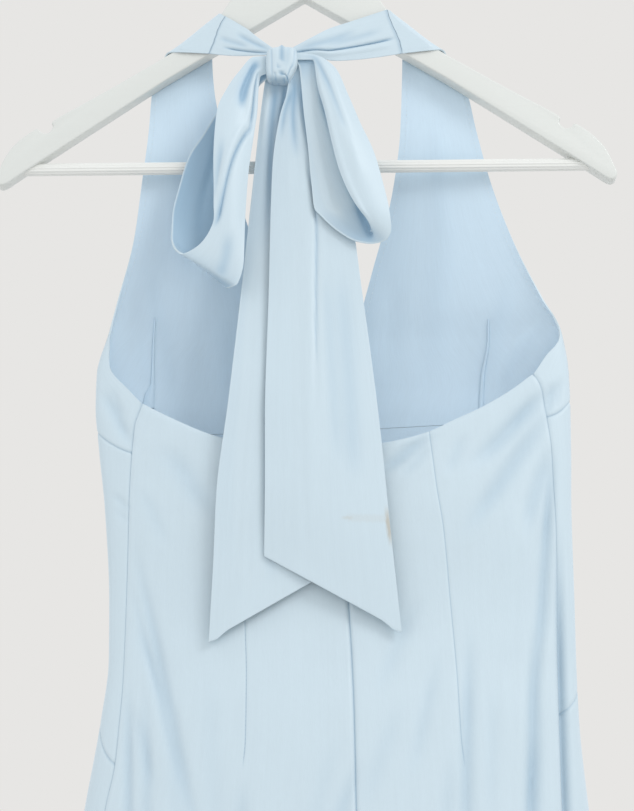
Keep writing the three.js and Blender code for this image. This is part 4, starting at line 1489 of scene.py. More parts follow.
        def lay(u: float, v: float) -> Laid:
            """The cloth at a share across and along, from the under-bust seam to the neck seam.

            Args:
                u: The share across.
                v: The share along.

            Returns:
                The point in mm, its hollow and its seam's shadow.
            """
            across = crowd(u, self.crowding)
            if v >= self.form_share:
                line = strap_line(across)
                part = (v - self.form_share) / (1.0 - self.form_share)
                shadow = self.strap_line.at((1.0 - v) * self.strap_reach)
                return through(line, 1.0 + part * (len(line) - 2)), 0.0, shadow
            up = crowd(v / self.form_share, self.height_crowding)
            degrees, z = self.low_place(side, across, up)
            to_seam = z - self.form.under_bust.value(degrees)
            draw = self.roll.at(to_seam)
            shadow = self.seam_shadow.at(to_seam)
            if z < self.seam_tops[side]:
                to_side = (1.0 - across) * self.half_front
                draw += self.roll.at(to_side)
                shadow += self.side_shadow.at(to_side)
            shown = self.form.raised(degrees)
            point, hollow = self.form.laid(degrees, z, -draw * shown)
            return point, hollow, min(shadow * shown, 1.0)

        mesh = PanelMesh(f"bodice_{side.word}", 84, 190, self.cuts[side])
        mesh.build(lay, Vector((0.0, 1.0, 0.0)), self.wardrobe)
        self.dart(side)

    def dart(self, side: Side) -> None:
        """Makes the bust dart's folded allowance, which lies on the cloth's inside.

        Args:
            side: Which side.
        """
        top, low = self.dart_ends

        def lay(u: float, v: float) -> Laid:
            """The allowance from its stitched line to its free edge.

            Args:
                u: The share across.
                v: The share along.

            Returns:
                The point in mm, its hollow and its seam's shadow.
            """
            z = mix(top, low, v)
            x = self.dart_lines[side].value(z) + side.value * u * self.dart_widths[side].value(z)
            degrees = self.form.section(z).angle(x, Face.FRONT)
            lift = self.dart_proud + self.dart_bulge * math.sin(math.pi * u)
            place = self.form.point(degrees, z, -lift)
            return place, self.dart_flap_shade * u, self.dart_shadow.at(u)

        maker = Maker(f"bust_dart_{side.word}")
        maker.sheet(8, 60, lay)
        maker.scale_uv(self.dart_cut.width, self.dart_cut.length)
        maker.obj.data.materials.append(self.wardrobe.reverse)
        maker.thicken(self.dart_thickness)
        flap = maker.dress([], "satin")


# The tie


@dataclass(frozen=True)
class Pleat:
    """A crease of a strip: where it starts and ends along and across it, its depth and width."""

    start: float
    start_u: float
    end: float
    end_u: float
    depth: float
    width: float
    fade: float = 0.3

    def height(self, place: float, u: float, breadth: float) -> float:
        """How far the crease lowers the strip at a place, for the strip's breadth there.

        Args:
            place: The place along the stretch, counted in rows.
            u: The share across.
            breadth: The strip's breadth, in mm.

        Returns:
            The lift in mm, below 0 in the crease.
        """
        if not self.start < place < self.end:
            return 0.0
        along = (place - self.start) / (self.end - self.start)
        away = abs(u - mix(self.start_u, self.end_u, along)) * breadth
        ends = smooth(along / self.fade) * smooth((1.0 - along) / self.fade)
        return -self.depth * ends * bell(away, self.width)


@dataclass
class TieStrip:
    """A stretch of the turned tie between two edges given at the same places along it."""

    name: str
    columns: int
    rows_along: int
    cut: Cut
    rows: Sequence[Sequence[float]]
    pleats: Sequence[Pleat] = ()
    # Places along the strip and how shaded its cloth is there
    shades: Sequence[tuple[float, float]] = ((0.0, 0.0), (1.0, 0.0))
    held: str = "folded"
    stained: bool = False
    thickness: float = 1.3
    edge: float = 0.42
    rim: float = 1.8
    crowding: float = 0.45
    start_seam: NeckSeam | None = None
    seam_gap: float = 0.15
    blunt_corner: float | None = None
    tip_rise: float = 2.4
    tip_drop: float = 3.2
    tip_reach: tuple[float, float] = (0.075, 0.16)
    # Crease depth in mm at which the painted shade in a pleat is full
    pleat_shade_depth: float = 1.6
    step: float = 0.02

    def __post_init__(self) -> None:
        """Reads the rows as one smooth table along the strip."""
        names = ("place", "ax", "ay", "az", "bx", "by", "bz", "crown")
        self.edges = Table(names, [(i, *row) for i, row in enumerate(self.rows)])
        self.shade = Table(("place", "hollow"), self.shades)
        self.first = -1.0 if self.start_seam else 0.0
        self.last = float(len(self.rows) - 1)

    def flat(self, u: float, place: float) -> Vector:
        """A point of the strip before its creases.

        Args:
            u: The share across.
            place: The place along the stretch, counted in rows.

        Returns:
            The point, in mm.
        """
        if place < 0.0:
            start = self.start_seam.point(u, self.seam_gap)
            return start.lerp(self.flat(u, 0.0), place + 1.0)
        ax, ay, az, bx, by, bz, crown = self.edges.at(place)
        y = mix(ay, by, u) - crown * math.sin(math.pi * u)
        z = mix(az, bz, u)
        if self.blunt_corner is not None:
            away = abs(u - self.blunt_corner)
            end = smooth((place - self.last) / 0.2 + 1.0)
            rise = self.tip_rise * smooth(1.0 - away / self.tip_reach[0])
            z += end * (rise - self.tip_drop * smooth(1.0 - away / self.tip_reach[1]))
        return Vector((mix(ax, bx, u), y, z))

    def seen_normal(self, u: float, place: float) -> Vector:
        """The strip's own direction outwards, on the side that is seen from the dress's back."""
        ahead = self.flat(u, min(place + self.step, self.last))
        behind = self.flat(u, max(place - self.step, self.first))
        over = self.flat(min(u + self.step, 1.0), place) - self.flat(max(u - self.step, 0.0), place)
        normal = (ahead - behind).cross(over)
        return (-normal if normal.y > 0.0 else normal).normalized()

    def lay(self, u: float, v: float) -> Laid:
        """The strip at a share across and along, with its creases.

        Args:
            u: The share across.
            v: The share along.

        Returns:
            The point in mm, its hollow and its seam's shadow.
        """
        across = crowd(u, self.crowding)
        place = mix(self.first, self.last, v)
        breadth = (self.flat(1.0, place) - self.flat(0.0, place)).length
        lift = sum(pleat.height(place, across, breadth) for pleat in self.pleats)
        rim = smooth(min(across, 1.0 - across) * breadth / self.rim)
        # Painted shade in the creases of pleats and on the strip's shaded stretches, such as the loops'
        # inner layers
        hollow = clamp(-lift / self.pleat_shade_depth + self.shade.value(place) * rim, 0.0, 1.0)
        seam = 0.5 * bell((place - self.first) * 10.0, 1.0) if self.start_seam else 0.0
        return self.flat(across, place) + self.seen_normal(across, place) * lift, hollow, seam

    def build(self, wardrobe: Wardrobe) -> None:
        """Makes the stretch.

        Args:
            wardrobe: The materials.
        """
        maker = Maker(f"{self.name}_satin")
        maker.sheet(self.columns, self.rows_along, self.lay)
        maker.scale_uv(self.cut.width, self.cut.length)
        maker.obj.data.materials.append(wardrobe.marked_tie if self.stained else wardrobe.tie)
        maker.thicken(self.thickness)
        maker.round_edges(self.edge)
        strip = maker.dress([], "tie_satin", instead_of=[self.name])


@dataclass(frozen=True)
class Wrap:
    """A fold of the knot's wrap, its places and width being shares of half the knot's size."""

    top_x: float
    top_z: float
    foot_x: float
    foot_z: float
    depth: float
    width: float

    def groove(self, x: float, z: float) -> float:
        """How deep the fold is at a place of the knot's face."""
        along = (self.top_z - z) / (self.top_z - self.foot_z)
        ends = smooth((along + 0.12) / 0.25) * smooth((1.12 - along) / 0.25)
        return self.depth * ends * bell(x - mix(self.top_x, self.foot_x, along), self.width)


@dataclass
class Knot:
    """The knot: the tie wrapped once round itself, puckered into folds."""

    x: float = -15.0
    y: float = -14.6
    z: float = -170.6
    width: float = 22.6
    depth: float = 18.5
    height: float = 25.6
    wraps: tuple[Wrap, ...] = (
        Wrap(0.06, 1.0, -0.05, 0.05, 0.12, 0.10), Wrap(0.70, -0.2, 0.40, -0.95, 0.08, 0.07),
        Wrap(-0.24, -0.22, 0.20, -1.0, 0.15, 0.07), Wrap(0.06, -0.55, 0.62, -1.0, 0.12, 0.06),
        Wrap(-0.66, 0.85, -0.60, -0.9, 0.06, 0.07), Wrap(0.42, 0.9, 0.30, -0.2, 0.03, 0.14),
        Wrap(0.84, 0.8, 0.74, -0.3, 0.05, 0.08), Wrap(-0.45, -0.6, -0.36, -1.0, 0.07, 0.06),
    )
    squareness: float = 0.46
    pucker: float = 0.03
    puckers: float = 15.0
    pucker_from: float = 0.7
    narrowing: float = 0.42
    peak: float = 1.9
    peak_x: float = 0.02
    peak_width: float = 0.15
    low_slope: float = -0.6
    high_slope: float = 0.25
    shade: float = 0.45
    shade_from: float = 0.72
    groove_shade: float = 7.0
    cloth: tuple[float, float] = (0.05, 0.04)
    fill: float = 0.7

    def build(self, wardrobe: Wardrobe) -> None:
        """Makes the knot from a ball, squared and cut in at its lower right.

        Args:
            wardrobe: The materials.
        """
        maker = Maker("bow_knot_satin")
        bpy.ops.mesh.primitive_uv_sphere_add(segments=128, ring_count=96, radius=1.0)
        obj = maker.adopt()
        hollows: list[float] = []
        for vertex in obj.data.vertices:
            x, y, z = (math.copysign(abs(part) ** self.squareness, part) for part in vertex.co)
            seen = 1.0 if y < 0.0 else -1.0
            groove = sum(wrap.groove(x * seen, z) for wrap in self.wraps)
            around = math.sin(self.puckers * math.atan2(y, x))
            pucker = self.pucker * around * smooth((-z - self.pucker_from) / 0.3)
            scale = 1.0 - groove + pucker
            narrow = 1.0 - self.narrowing * smooth((0.1 - z) / 1.1) * smooth((x + 0.2) / 1.2)
            shade = self.shade * smooth((-z - self.shade_from) / 0.3)
            hollows.append(min(groove * self.groove_shade + shade, 1.0))
            lift = self.peak * bell(x + self.peak_x, self.peak_width) * smooth((z - 0.6) / 0.4)
            slope = (self.low_slope if z < -0.5 else self.high_slope) * x
            vertex.co = Vector((
                self.x + x * narrow * self.width / 2.0, self.y + y * scale * self.depth / 2.0,
                self.z + z * self.height / 2.0 + lift + slope,
            )) * MM
        maker.scale_uv(*self.cloth)
        maker.carry("hollow", hollows)
        maker.carry("seam", [0.0] * len(hollows))
        knot = maker.dress([wardrobe.tie], "tie_satin", instead_of=["bow_knot"], degrees=60.0)


@dataclass
class Bow:
    """The tie's bands, loops and tails."""

    left_loop: Rows = (
        (-21, -15, -163, -21, -15, -175, 0), (-34.8, -17, -164.6, -30.5, -16, -179.1, 2),
        (-44.6, -20, -176.1, -31.8, -18, -189.6, 3), (-53.5, -23, -190.7, -32.4, -20, -205.3, 4),
        (-60.3, -27, -209.3, -35, -23, -227.2, 4), (-62.3, -31, -245, -38.5, -26, -256, 4),
        (-61.6, -32, -286.7, -40.5, -27, -292.4, 3), (-71.8, -31, -308.2, -41, -28, -319.5, 2),
        (-82.9, -29, -313.7, -46.1, -27, -335.8, 1), (-89.5, -24, -307.4, -51.1, -23, -336.5, 0),
        (-91.6, -19, -297.9, -56.1, -18, -328.8, 0), (-91.3, -15, -281.2, -56.3, -15, -315.6, 0),
        (-86.8, -12, -258.6, -52.4, -13, -287.9, 0), (-80.1, -11, -236, -47, -11, -261.5, 0),
        (-71.4, -11, -221.9, -42.3, -10.8, -231.7, 0),
        (-60.2, -11, -203.2, -36.1, -10.5, -205.4, 0),
        (-44.8, -11, -183.4, -32, -10.5, -185.6, 0), (-21, -12, -166.5, -21, -12, -175.6, 0),
    )
    right_loop: Rows = (
        (-8, -17.5, -161.6, -8, -18, -167, 0), (6.4, -18.5, -163.2, 6.6, -19.5, -167.4, 0.6),
        (21.9, -21, -173.5, 11, -24, -190.2, 3), (31.5, -24, -195.5, 15.5, -28, -208.2, 4),
        (39.8, -26, -216.8, 19.7, -30, -228.9, 4), (49.4, -27, -238.9, 24.6, -31, -249.8, 4),
        (54.8, -28, -258.4, 30.1, -32, -265.6, 3), (60, -28, -281.8, 37.2, -31.5, -279, 2),
        (61.4, -26.5, -295, 43.2, -30, -286.6, 1),
        (57.2, -23.5, -302.6, 47.4, -27, -292.8, 0),
        (48.2, -21, -304.2, 48.6, -23, -295.2, 0), (37.6, -20, -302.2, 48.9, -19.4, -291.2, 0),
        (25.6, -19.5, -295.4, 48.2, -17.6, -284, 0),
        (13.4, -19.5, -284.2, 45.5, -17.6, -274, 0),
        (8, -19.5, -277.2, 40.5, -18.5, -262.5, 0), (6.1, -19, -260.3, 33.5, -19, -244, 0),
        (3.6, -18.5, -232.8, 25.5, -19, -220.5, 0), (0.4, -18, -204.4, 17, -18.5, -196.5, 0),
        (-1.4, -17.2, -183, 14, -17.6, -181, 0), (-3, -16.6, -171, 11.5, -16.8, -170, 0),
        (-6.5, -16.2, -165.5, 3, -16.2, -165, 0),
    )
    right_tail: Rows = (
        (-9, -14, -168, -2.5, -14, -168, 0), (-11.4, -14.5, -189.3, 2, -14, -189.1, 0.4),
        (-16.6, -15, -209, 6.3, -14, -209.1, 0.8), (-21.3, -15, -244.6, 18.4, -14, -247.6, 1),
        (-22.6, -15.5, -283.1, 33.4, -14.5, -282.4, 1),
        (-23.7, -17, -341.3, 41.7, -16.5, -341, 1.2),
        (-25.7, -23, -422.5, 53.1, -20.6, -436.5, 3),
        (-25.5, -23.6, -473.3, 59.2, -20.2, -500.9, 3.6),
        (-25.9, -20, -525.3, 67, -17.6, -576.2, 1.4),
    )
    left_tail: Rows = (
        (-26, -8.6, -172, -8, -8.6, -172, 0), (-28.4, -9.2, -190.5, -6.5, -9.5, -191, 0),
        (-30.4, -10, -208.1, -7, -10, -207.7, 0),
        (-36.6, -10.5, -271.2, -0.6, -10.5, -270.8, 0),
        (-43.5, -12.5, -342.3, 5.7, -12.5, -342.4, 0),
        (-51, -18.3, -414.7, 11.3, -18.3, -408.6, 0.4),
        (-58.7, -19.3, -480.3, 16.8, -19.3, -454.8, 0.6),
        (-60.6, -17, -530, 20.1, -18.2, -496, 0.6),
        (-63.2, -15.4, -582.6, 24.2, -16.4, -532, 0.4),
    )
    left_band: Rows = (
        (-48, -9.2, -135.2, -58.5, -9.2, -159.9, 0.6),
        (-39.3, -10.2, -141.3, -46.3, -10.2, -161, 0.8),
        (-32.1, -11.8, -148.1, -34.2, -11.8, -161.4, 0.8),
        (-21, -13.2, -157, -21, -13.2, -161.2, 0.4),
    )
    right_band: Rows = (
        (46.4, -9.2, -130.4, 54.8, -9.2, -161.4, 0.6),
        (33.5, -9.8, -135.2, 37, -9.8, -163.8, 1),
        (19.2, -11.2, -140.7, 21.3, -11.2, -165, 1),
        (6.4, -12.6, -148, 6.4, -12.6, -161.8, 0.6),
        (-9, -13.2, -157, -9, -13.2, -161.2, 0.2),
    )

    def strips(self) -> list[TieStrip]:
        """Every stretch of the tie with its cut and its creases.

        Returns:
            The two bands, the two loops and the two tails.
        """
        return [
            TieStrip("bow_loop_left", 44, 240, Cut(0.036, 0.36, 0.0101), self.left_loop, (
                Pleat(0.5, 0.45, 3.6, 0.52, 2.8, 3.8), Pleat(0.8, 0.80, 4.2, 0.90, 1.6, 1.3),
                Pleat(0.5, 0.70, 4.0, 0.78, -1.0, 1.8), Pleat(3.6, 0.96, 6.4, 0.04, 1.5, 1.4, 0.2),
                Pleat(3.6, 0.80, 6.3, -0.12, -0.9, 2.0, 0.2), Pleat(4.4, 0.25, 6.4, 0.05, 0.9, 3.0),
                Pleat(6.2, 0.55, 8.2, 0.70, 0.7, 4.0), Pleat(11.0, 0.5, 16.5, 0.4, 1.0, 3.6),
            ), shades=((0.0, 0.25), (0.8, 0.05), (7.0, 0.0), (8.0, 0.25), (8.8, 0.75), (12.0, 0.95),
                       (17.0, 1.0))),
            TieStrip("bow_loop_right", 44, 240, Cut(0.030, 0.33, 0.0066), self.right_loop, (
                Pleat(0.3, 0.6, 5.0, 0.45, 1.0, 2.6), Pleat(1.2, 0.3, 6.5, 0.6, -0.8, 3.5),
                Pleat(1.4, 0.88, 8.4, 0.90, -0.8, 1.8, 0.15), Pleat(11.6, 0.82, 18.6, 0.86, 1.7, 2.6),
                Pleat(9.4, 0.85, 13.6, 0.80, 2.4, 3.4), Pleat(12.0, 0.35, 18.0, 0.30, -0.7, 3.6),
            ), shades=((0.0, 0.1), (8.2, 0.0), (9.2, 0.35), (10.4, 0.75), (12.2, 0.45), (13.6, 0.12),
                       (17.6, 0.10), (18.6, 0.45), (20.0, 1.0))),
            TieStrip("bow_tail_right", 64, 200, Cut(0.094, 0.40, 0.0235), self.right_tail, (
                Pleat(0.2, 0.35, 3.0, 0.45, 1.1, 2.6), Pleat(0.3, 0.75, 3.6, 0.80, 1.0, 2.6),
                Pleat(2.6, 0.66, 6.2, 0.42, 1.1, 1.6), Pleat(2.4, 0.50, 7.9, 0.34, -0.9, 6.0),
                Pleat(0.8, 0.15, 2.6, 0.12, 0.9, 2.0), Pleat(4.6, 0.80, 6.8, 0.72, 0.35, 6.0),
                Pleat(4.6, 0.62, 6.6, 0.60, 0.25, 4.0),
            ), shades=((0.0, 0.5), (1.2, 0.28), (3.0, 0.05), (8.0, 0.0)), held="hung", stained=True,
                blunt_corner=1.0),
            TieStrip("bow_tail_left", 60, 200, Cut(0.096, 0.41, 0.0212), self.left_tail, (
                Pleat(0.2, 0.4, 3.6, 0.35, 1.0, 3.0), Pleat(0.2, 0.72, 3.0, 0.62, 1.2, 2.4),
                Pleat(3.0, 0.25, 7.8, 0.35, -0.8, 7.0), Pleat(0.3, 0.16, 2.6, 0.14, -0.6, 1.8),
                Pleat(4.0, 0.45, 7.8, 0.50, 0.6, 5.0),
            ), shades=((0.0, 0.6), (1.0, 0.35), (3.0, 0.2), (5.0, 0.08), (8.0, 0.0)), held="hung",
                blunt_corner=0.0),
            TieStrip("tie_band_left", 40, 60, Cut(0.031, 0.047, 0.0009), self.left_band, (
                Pleat(-0.3, 0.78, 3.0, 0.84, 1.6, 0.9), Pleat(0.2, 0.30, 3.0, 0.45, 0.9, 2.0),
                Pleat(-0.9, 0.55, 1.6, 0.62, 0.6, 2.0),
            ), start_seam=NECK_SEAMS[Side.LEFT]),
            TieStrip("tie_band_right", 44, 80, Cut(0.034, 0.080, 0.0020), self.right_band, (
                Pleat(-0.95, 0.64, 4.0, 0.72, 2.0, 0.9, 0.12), Pleat(0.6, 0.28, 4.0, 0.50, 0.7, 2.6),
                Pleat(-0.9, 0.78, 3.2, 0.80, -0.6, 1.6, 0.2), Pleat(-0.6, 0.40, 2.4, 0.52, 0.5, 2.4),
            ), start_seam=NECK_SEAMS[Side.RIGHT]),
        ]

    def build(self, wardrobe: Wardrobe) -> None:
        """Makes the stretches."""
        for strip in self.strips():
            strip.build(wardrobe)


# The hanger


@dataclass
class Hanger:
    """The white wooden hanger: its arms with strap notches, ribbed bar and wire hook."""

    form: HangerForm
    wardrobe: Wardrobe
    depth: float = 14.0
    bevel: float = 1.1
    bar_radius: float = 4.5
    bar_groove: float = 0.45
    bar_ribs: int = 12
    bar_z: float = -241.0
    bar_reach: float = 206.0
    wire: float = 1.75
    hook_radius: float = 19.0
    stem_foot: float = -75.0
    head_top: tuple[tuple[float, float], ...] = (
        (0, -56), (9, -57.6), (17.5, -63), (25, -73), (33, -87), (42, -101.5), (51, -113.2),
        (57.5, -123.0),
    )
    shoulder: tuple[tuple[float, float], ...] = (
        (179.3, -210.5), (181.5, -214.6), (185, -216), (188.5, -214.4), (190.8, -212.5),
        (196.5, -215.8), (203, -220.9), (209, -227.2), (213.5, -234.2), (216.7, -242),
        (219.2, -248.4), (218.6, -252.4), (215.5, -254.2), (211, -252.6), (205.7, -248.8),
    )
    under: tuple[tuple[float, float], ...] = (
        (188, -236.7), (150, -211), (100, -177.2), (50, -146.0), (0, -115),
    )
    edge_x: tuple[float, ...] = (61, 66, 73, 82, 90, 97, 105, 116, 134, 156, 179)

    def half_outline(self) -> list[Vector]:
        """The right half of the outline, from the head's top round to the apex below.

        Returns:
            The corners, in mm.
        """
        edge = [(x, self.form.arm_top.value(x)) for x in self.edge_x]
        stations = [Vector((x, z, 0.0)) for x, z in (*self.head_top, *edge, *self.shoulder)]
        rounded = [
            through(stations, i + part / 3.0) for i in range(len(stations) - 1) for part in range(3)
        ]
        return rounded + [stations[-1]] + [Vector((x, z, 0.0)) for x, z in self.under]

    def arms(self) -> None:
        """Cuts the arms out of a board."""
        half = self.half_outline()
        outline = half + [Vector((-point.x, point.y, 0.0)) for point in reversed(half[1:-1])]
        maker = Maker("hanger_arms")
        bpy.ops.mesh.primitive_circle_add(vertices=len(outline), radius=1.0, fill_type="NGON")
        obj = maker.adopt()
        for vertex, point in zip(obj.data.vertices, outline):
            vertex.co = self.form.turned(point.x, -self.depth / 2.0, point.y) * MM
        maker.edit(lambda: bpy.ops.mesh.extrude_region_move(
            TRANSFORM_OT_translate={"value": (0.0, self.depth * MM, 0.0)}))
        maker.edit(lambda: bpy.ops.mesh.normals_make_consistent(inside=False))
        maker.round_edges(self.bevel, 3, 50.0)
        maker.dress([self.wardrobe.wood], "white_wood", instead_of=["hanger_body"], degrees=35.0)

    def bar(self) -> None:
        """Rolls the ribbed bar."""
        def place(u: float, v: float) -> Vector:
            """A point round the bar and along it, drawn in to a point at its ends.

            Args:
                u: The share across.
                v: The share along.

            Returns:
                The point, in mm.
            """
            turn = 2.0 * math.pi * u
            inset = 1.0 - 0.999 * smooth((abs(v - 0.5) - 0.498) / 0.002)
            radius = self.bar_radius - self.bar_groove * (0.5 - 0.5 * math.cos(self.bar_ribs * turn)) ** 2
            x = mix(-self.bar_reach, self.bar_reach, v)
            return self.form.turned(
                x, radius * inset * math.cos(turn), self.bar_z + radius * inset * math.sin(turn))

        maker = Maker("ribbed_bar")
        maker.grid(96, 80, place)
        maker.close()
        maker.dress([self.wardrobe.bar], "white_wood", instead_of=["hanger_bar"], degrees=60.0)

    def hook(self) -> None:
        """Bends the wire hook."""
        ring = self.hook_radius + self.wire
        line = [Vector((x, 0.0, z)) for x, z in (
            (0.0, self.stem_foot), (0.0, -60.0), (0.4, -50.0), (4.0, -43.5))]
        for degrees in (-52, -30, 0, 30, 60, 90, 120, 150, 180, 206):
            angle = math.radians(degrees)
            line.append(Vector((
                ring * math.cos(angle), 0.0, ring * math.sin(angle) - self.hook_radius)))

        def place(u: float, v: float) -> Vector:
            """A point round the wire and along its line, with round ends.

            Args:
                u: The share across.
                v: The share along.

            Returns:
                The point, in mm.
            """
            where = v * (len(line) - 1)
            centre = through(line, where)
            ahead = through(line, min(where + 0.05, len(line) - 1.0))
            behind = through(line, max(where - 0.05, 0.0))
            across = (ahead - behind).normalized().cross(Vector((0.0, 1.0, 0.0)))
            turn = 2.0 * math.pi * u
            round_end = math.sqrt(clamp(min(v, 1.0 - v) / 0.012, 0.0001, 1.0))
            radius = self.wire * round_end
            point = centre + across * radius * math.cos(turn)
            return self.form.turned(point.x, point.y + radius * math.sin(turn), point.z)

        maker = Maker("wire_hook")
        maker.grid(24, 200, place)
        maker.close()
        maker.dress([self.wardrobe.steel], "hook_steel", instead_of=["hanger_hook"], degrees=60.0)

    def build(self) -> None:
        """Makes the hanger's three pieces."""
        self.arms()
        self.bar()
        self.hook()


# The zip


@dataclass
class Zip:
    """The concealed zip behind the centre-back seam, its slider and its pull tab."""

    form: DressForm
    wardrobe: Wardrobe
    top_z: float = -452.0
    low_z: float = -664.0
    half: float = 9.0
    tape: float = 1.0
    inwards: float = -2.2
    tooth_pitch: float = 1.6
    coil_end: float = 4.0
    coil_width: float = 1.9
    coil_rise: float = 0.45
    coil_thread: float = 0.35
    coil_lift: float = 1.15
    coil_steps: int = 8
    cut: Cut = Cut(0.018, 0.212)

    def on_tape(self, across: float, z: float, outwards: float) -> Vector:
        """A point beside the centre-back seam, off the cloth's middle."""
        x = self.form.centre_back.value(z) + across
        return self.form.point(self.form.section(z).angle(x, Face.BACK), z, outwards)

    def build(self) -> None:
        """Makes the tape and its coil, and finishes the slider and the tab."""
        maker = Maker("woven_tape")
        maker.grid(16, 110, lambda u, v: self.on_tape(
            mix(-self.half, self.half, u), mix(self.top_z, self.low_z, v), self.inwards))
        maker.scale_uv(self.cut.width, self.cut.length)
        maker.obj.data.materials.append(self.wardrobe.tape)
        maker.thicken(self.tape)
        tape = maker.dress([], "zip_tape", instead_of=["zip_tape"])
        coil = self.coil()
        for name in ("zip_slider", "zip_pull"):
            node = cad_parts[name]
            node.data.materials.clear()
            node.data.materials.append(self.wardrobe.enamel)

    def coil(self) -> Piece:
        """Winds the nylon coil down the tape's inner side.

        Returns:
            The piece.
        """
        turns = int((self.top_z - self.low_z - 2.0 * self.coil_end) / self.tooth_pitch)

        def place(u: float, v: float) -> Vector:
            """A point round the thread and along its windings.

            Args:
                u: The share across.
                v: The share along.

            Returns:
                The point, in mm.
            """
            wound = v * turns * 2.0 * math.pi
            z = mix(self.top_z - self.coil_end, self.low_z + self.coil_end, v)
            around = 2.0 * math.pi * u
            across = self.coil_width * math.cos(wound) + self.coil_thread * math.cos(around)
            deep = self.inwards - self.coil_lift + self.coil_rise * math.sin(wound)
            return self.on_tape(across, z, deep + self.coil_thread * math.sin(around))

        maker = Maker("zip_coil")
        maker.grid(4, turns * self.coil_steps, place)
        maker.close()
        return maker.dress([self.wardrobe.thread], "zip_tape", degrees=70.0)


# Sewing


@dataclass
class Stitching:
    """Rows of small stitches beside the fronts' edges and on the left back dart."""

    form: DressForm
    bodice: Bodice
    wardrobe: Wardrobe
    length: float = 1.7
    gap: float = 1.3
    width: float = 0.38
    inside: float = 4.2
    proud: float = 0.62
    flatness: float = 0.55
    edge_span: tuple[float, float] = (0.03, 0.97)
    edge_steps: int = 700
    measured_share: float = 0.02
    armhole_low: dict[Side, float] = field(default_factory=lambda: {
        Side.LEFT: -412.0, Side.RIGHT: -391.0,
    })
    dart_span: tuple[float, float] = (-575.0, -668.0)
    dart_steps: int = 420
    dart_proud: float = 0.22

    def dash(self, middle: Vector, direction: Vector, out: Vector) -> Piece:
        """Lays one stitch.

        Args:
            middle: The stitch's middle.
            direction: The way it runs.
            out: The way out of the cloth.

        Returns:
            The stitch.
        """
        deselect()
        bpy.ops.mesh.primitive_uv_sphere_add(segments=6, ring_count=4, radius=0.5)
        stitch = bpy.context.active_object
        along = direction.normalized() * self.length
        across = along.cross(out).normalized() * self.width
        rise = out.normalized() * self.width * self.flatness
        for vertex in stitch.data.vertices:
            x, y, z = vertex.co
            vertex.co = (middle + along * z + across * x + rise * y) * MM
        return stitch

    def row(self, name: str, points: Sequence[Vector], outs: Sequence[Vector],
            thread: Material) -> None:
        """Lays a row of stitches along points, and joins them into one piece.

        Args:
            name: The row's name.
            points: The points the row runs along.
            outs: The way out of the cloth at each point.
            thread: The thread's material.
        """
        maker = Maker(name)
        stitches = []
        travelled = 0.0
        for i in range(len(points) - 1):
            travelled += (points[i + 1] - points[i]).length
            if travelled >= self.length + self.gap:
                travelled = 0.0
                stitches.append(self.dash(points[i], points[i + 1] - points[i], outs[i]))
        deselect()
        for stitch in stitches:
            stitch.select_set(True)
        bpy.context.view_layer.objects.active = stitches[0]
        bpy.ops.object.join()
        maker.adopt()
        maker.dress([thread], "satin", degrees=80.0)

    def edge_row(self, name: str, side: Side, neck: bool) -> None:
        """Lays the row beside a neck edge or an armhole edge, on the cloth's inside.

        Args:
            name: The row's name.
            side: Which side.
            neck: Whether the edge is that of the neck.
        """
        points = []
        outs = []
        edge = 0.0 if neck else 1.0
        inwards = self.measured_share if neck else -self.measured_share
        for step in range(self.edge_steps):
            up = mix(*self.edge_span, step / (self.edge_steps - 1.0))
            start = self.form.point(*self.bodice.low_place(side, edge, up))
            inner = self.form.point(*self.bodice.low_place(side, edge + inwards, up))
            at = edge + inwards * self.inside / max((inner - start).length, 1e-6)
            degrees, z = self.bodice.low_place(side, at, up)
            if not neck and z < self.armhole_low[side]:
                continue
            middle = self.form.point(degrees, z)
            inside = self.form.point(degrees, z, -self.proud)
            points.append(inside)
            outs.append(inside - middle)
        self.row(name, points, outs, self.wardrobe.thread)

    def dart_row(self, backs: Backs) -> None:
        """Lays the small puckered stitches that show on the left back dart.

        Args:
            backs: The back panels.
        """
        points = []
        outs = []
        for step in range(self.dart_steps):
            z = mix(*self.dart_span, step / (self.dart_steps - 1.0))
            degrees = self.form.section(z).angle(backs.darts[Side.LEFT].value(z), Face.BACK)
            middle = self.form.point(degrees, z)
            outside = self.form.point(degrees, z, self.dart_proud)
            points.append(outside)
            outs.append(outside - middle)
        self.row("dart_stitches", points, outs, self.wardrobe.shaded_thread)

    def build(self, backs: Backs) -> None:
        """Lays every row."""
        for side in Side:
            self.edge_row(f"neck_stitches_{side.word}", side, True)
            self.edge_row(f"armhole_stitches_{side.word}", side, False)
        self.dart_row(backs)


# The studio


@dataclass(frozen=True)
class Lamp:
    """A large soft light: its place and width in metres, and its power in watts."""

    name: str
    place: tuple[float, float, float]
    width: float
    power: float


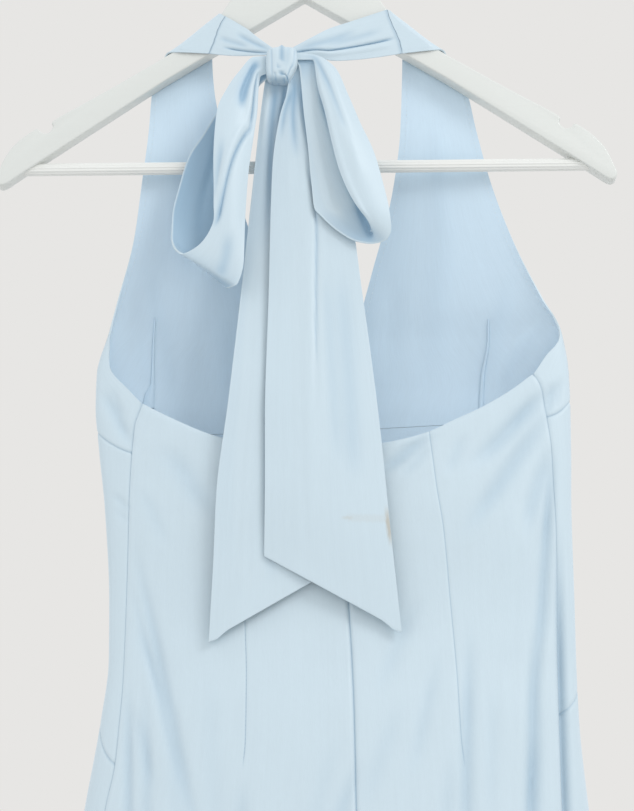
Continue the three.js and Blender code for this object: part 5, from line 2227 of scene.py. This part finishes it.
@dataclass
class Studio:
    """The camera, the soft lights and the pale floor."""

    distance: float = 2.0
    elevation: float = math.radians(14.0)
    aim: tuple[float, float, float] = (0.00992, 0.0, -0.415)
    lens: float = 127.9
    sensor: float = 36.0
    furthest: float = 50.0
    lamps: tuple[Lamp, ...] = (
        Lamp("key_light", (1.9, -1.8, 1.3), 1.2, 28.0),
        Lamp("fill_light", (-2.3, -1.6, 0.1), 1.8, 7.0),
    )
    floor_size: float = 12.0
    background: Colour = (0.799, 0.791, 0.776)
    ambient: Colour = (0.950, 0.970, 1.000)
    floor_drop: float = 0.012

    def camera(self) -> None:
        """Sets the camera at the photograph's viewing angle."""
        deselect()
        aim = Vector(self.aim)
        away = Vector((0.0, -math.cos(self.elevation), -math.sin(self.elevation)))
        bpy.ops.object.camera_add(location=aim + away * self.distance)
        camera = bpy.context.active_object
        camera.rotation_euler = (-away).to_track_quat("-Z", "Y").to_euler()
        camera.data.lens = self.lens
        camera.data.sensor_width = self.sensor
        camera.data.clip_end = self.furthest
        bpy.context.scene.camera = camera

    def light(self, lamp: Lamp) -> None:
        """Hangs a large soft light that looks at the dress.

        Args:
            lamp: Its name, place, width and power.
        """
        bpy.ops.object.light_add(type="AREA", location=lamp.place)
        light = bpy.context.active_object
        light.name = lamp.name
        light.data.shape = "SQUARE"
        light.data.size = lamp.width
        light.data.energy = lamp.power
        away = Vector(self.aim) - Vector(lamp.place)
        light.rotation_euler = away.to_track_quat("-Z", "Y").to_euler()

    def build(self, wardrobe: Wardrobe) -> None:
        """Sets up the lights, the floor and the pale surroundings.

        Args:
            wardrobe: The materials.
        """
        for lamp in self.lamps:
            self.light(lamp)
        world = bpy.data.worlds.new("pale_surroundings")
        world.use_nodes = True
        tree = world.node_tree
        blend = tree.nodes.new("ShaderNodeMix")
        blend.data_type = "RGBA"
        blend.inputs[6].default_value = (*self.ambient, 1.0)
        blend.inputs[7].default_value = (*self.background, 1.0)
        seen = tree.nodes.new("ShaderNodeLightPath").outputs["Is Camera Ray"]
        tree.links.new(seen, blend.inputs[0])
        tree.links.new(blend.outputs[2], tree.nodes["Background"].inputs["Color"])
        scene = bpy.context.scene
        scene.world = world
        scene.view_settings.view_transform = "Standard"
        deselect()
        bpy.ops.mesh.primitive_plane_add(size=self.floor_size, location=(0.0, 0.0, 0.0))
        floor = bpy.context.active_object
        floor.name = "pale_floor"
        low = CAD_BOX[0].z - self.floor_drop
        for vertex in floor.data.vertices:
            vertex.co.z = low
        floor.data.materials.append(wardrobe.floor)


def main() -> None:
    """Builds the studio, then the hanger, the dress, the tie and the sewing."""
    logging.basicConfig(level=logging.INFO, format="%(name)s: %(message)s")
    studio = Studio()
    studio.camera()
    wardrobe = Wardrobe()
    studio.build(wardrobe)
    form = DressForm()
    hanger_form = HangerForm()
    Hanger(hanger_form, wardrobe).build()
    backs = Backs(form, wardrobe)
    for side in Side:
        backs.build(side)
    front = FrontSkirt(form, wardrobe)
    front.build("midriff_front", 80, front.midriff_cut, form.under_bust, form.hip_seam)
    front.build("skirt_front", 130, front.skirt_cut, form.hip_seam, None)
    bodice = Bodice(form, hanger_form, wardrobe)
    for side in Side:
        bodice.build(side)
    Knot().build(wardrobe)
    Bow().build(wardrobe)
    Zip(form, wardrobe).build()
    Stitching(form, bodice, wardrobe).build(backs)


if __name__ == "__main__":
    main()
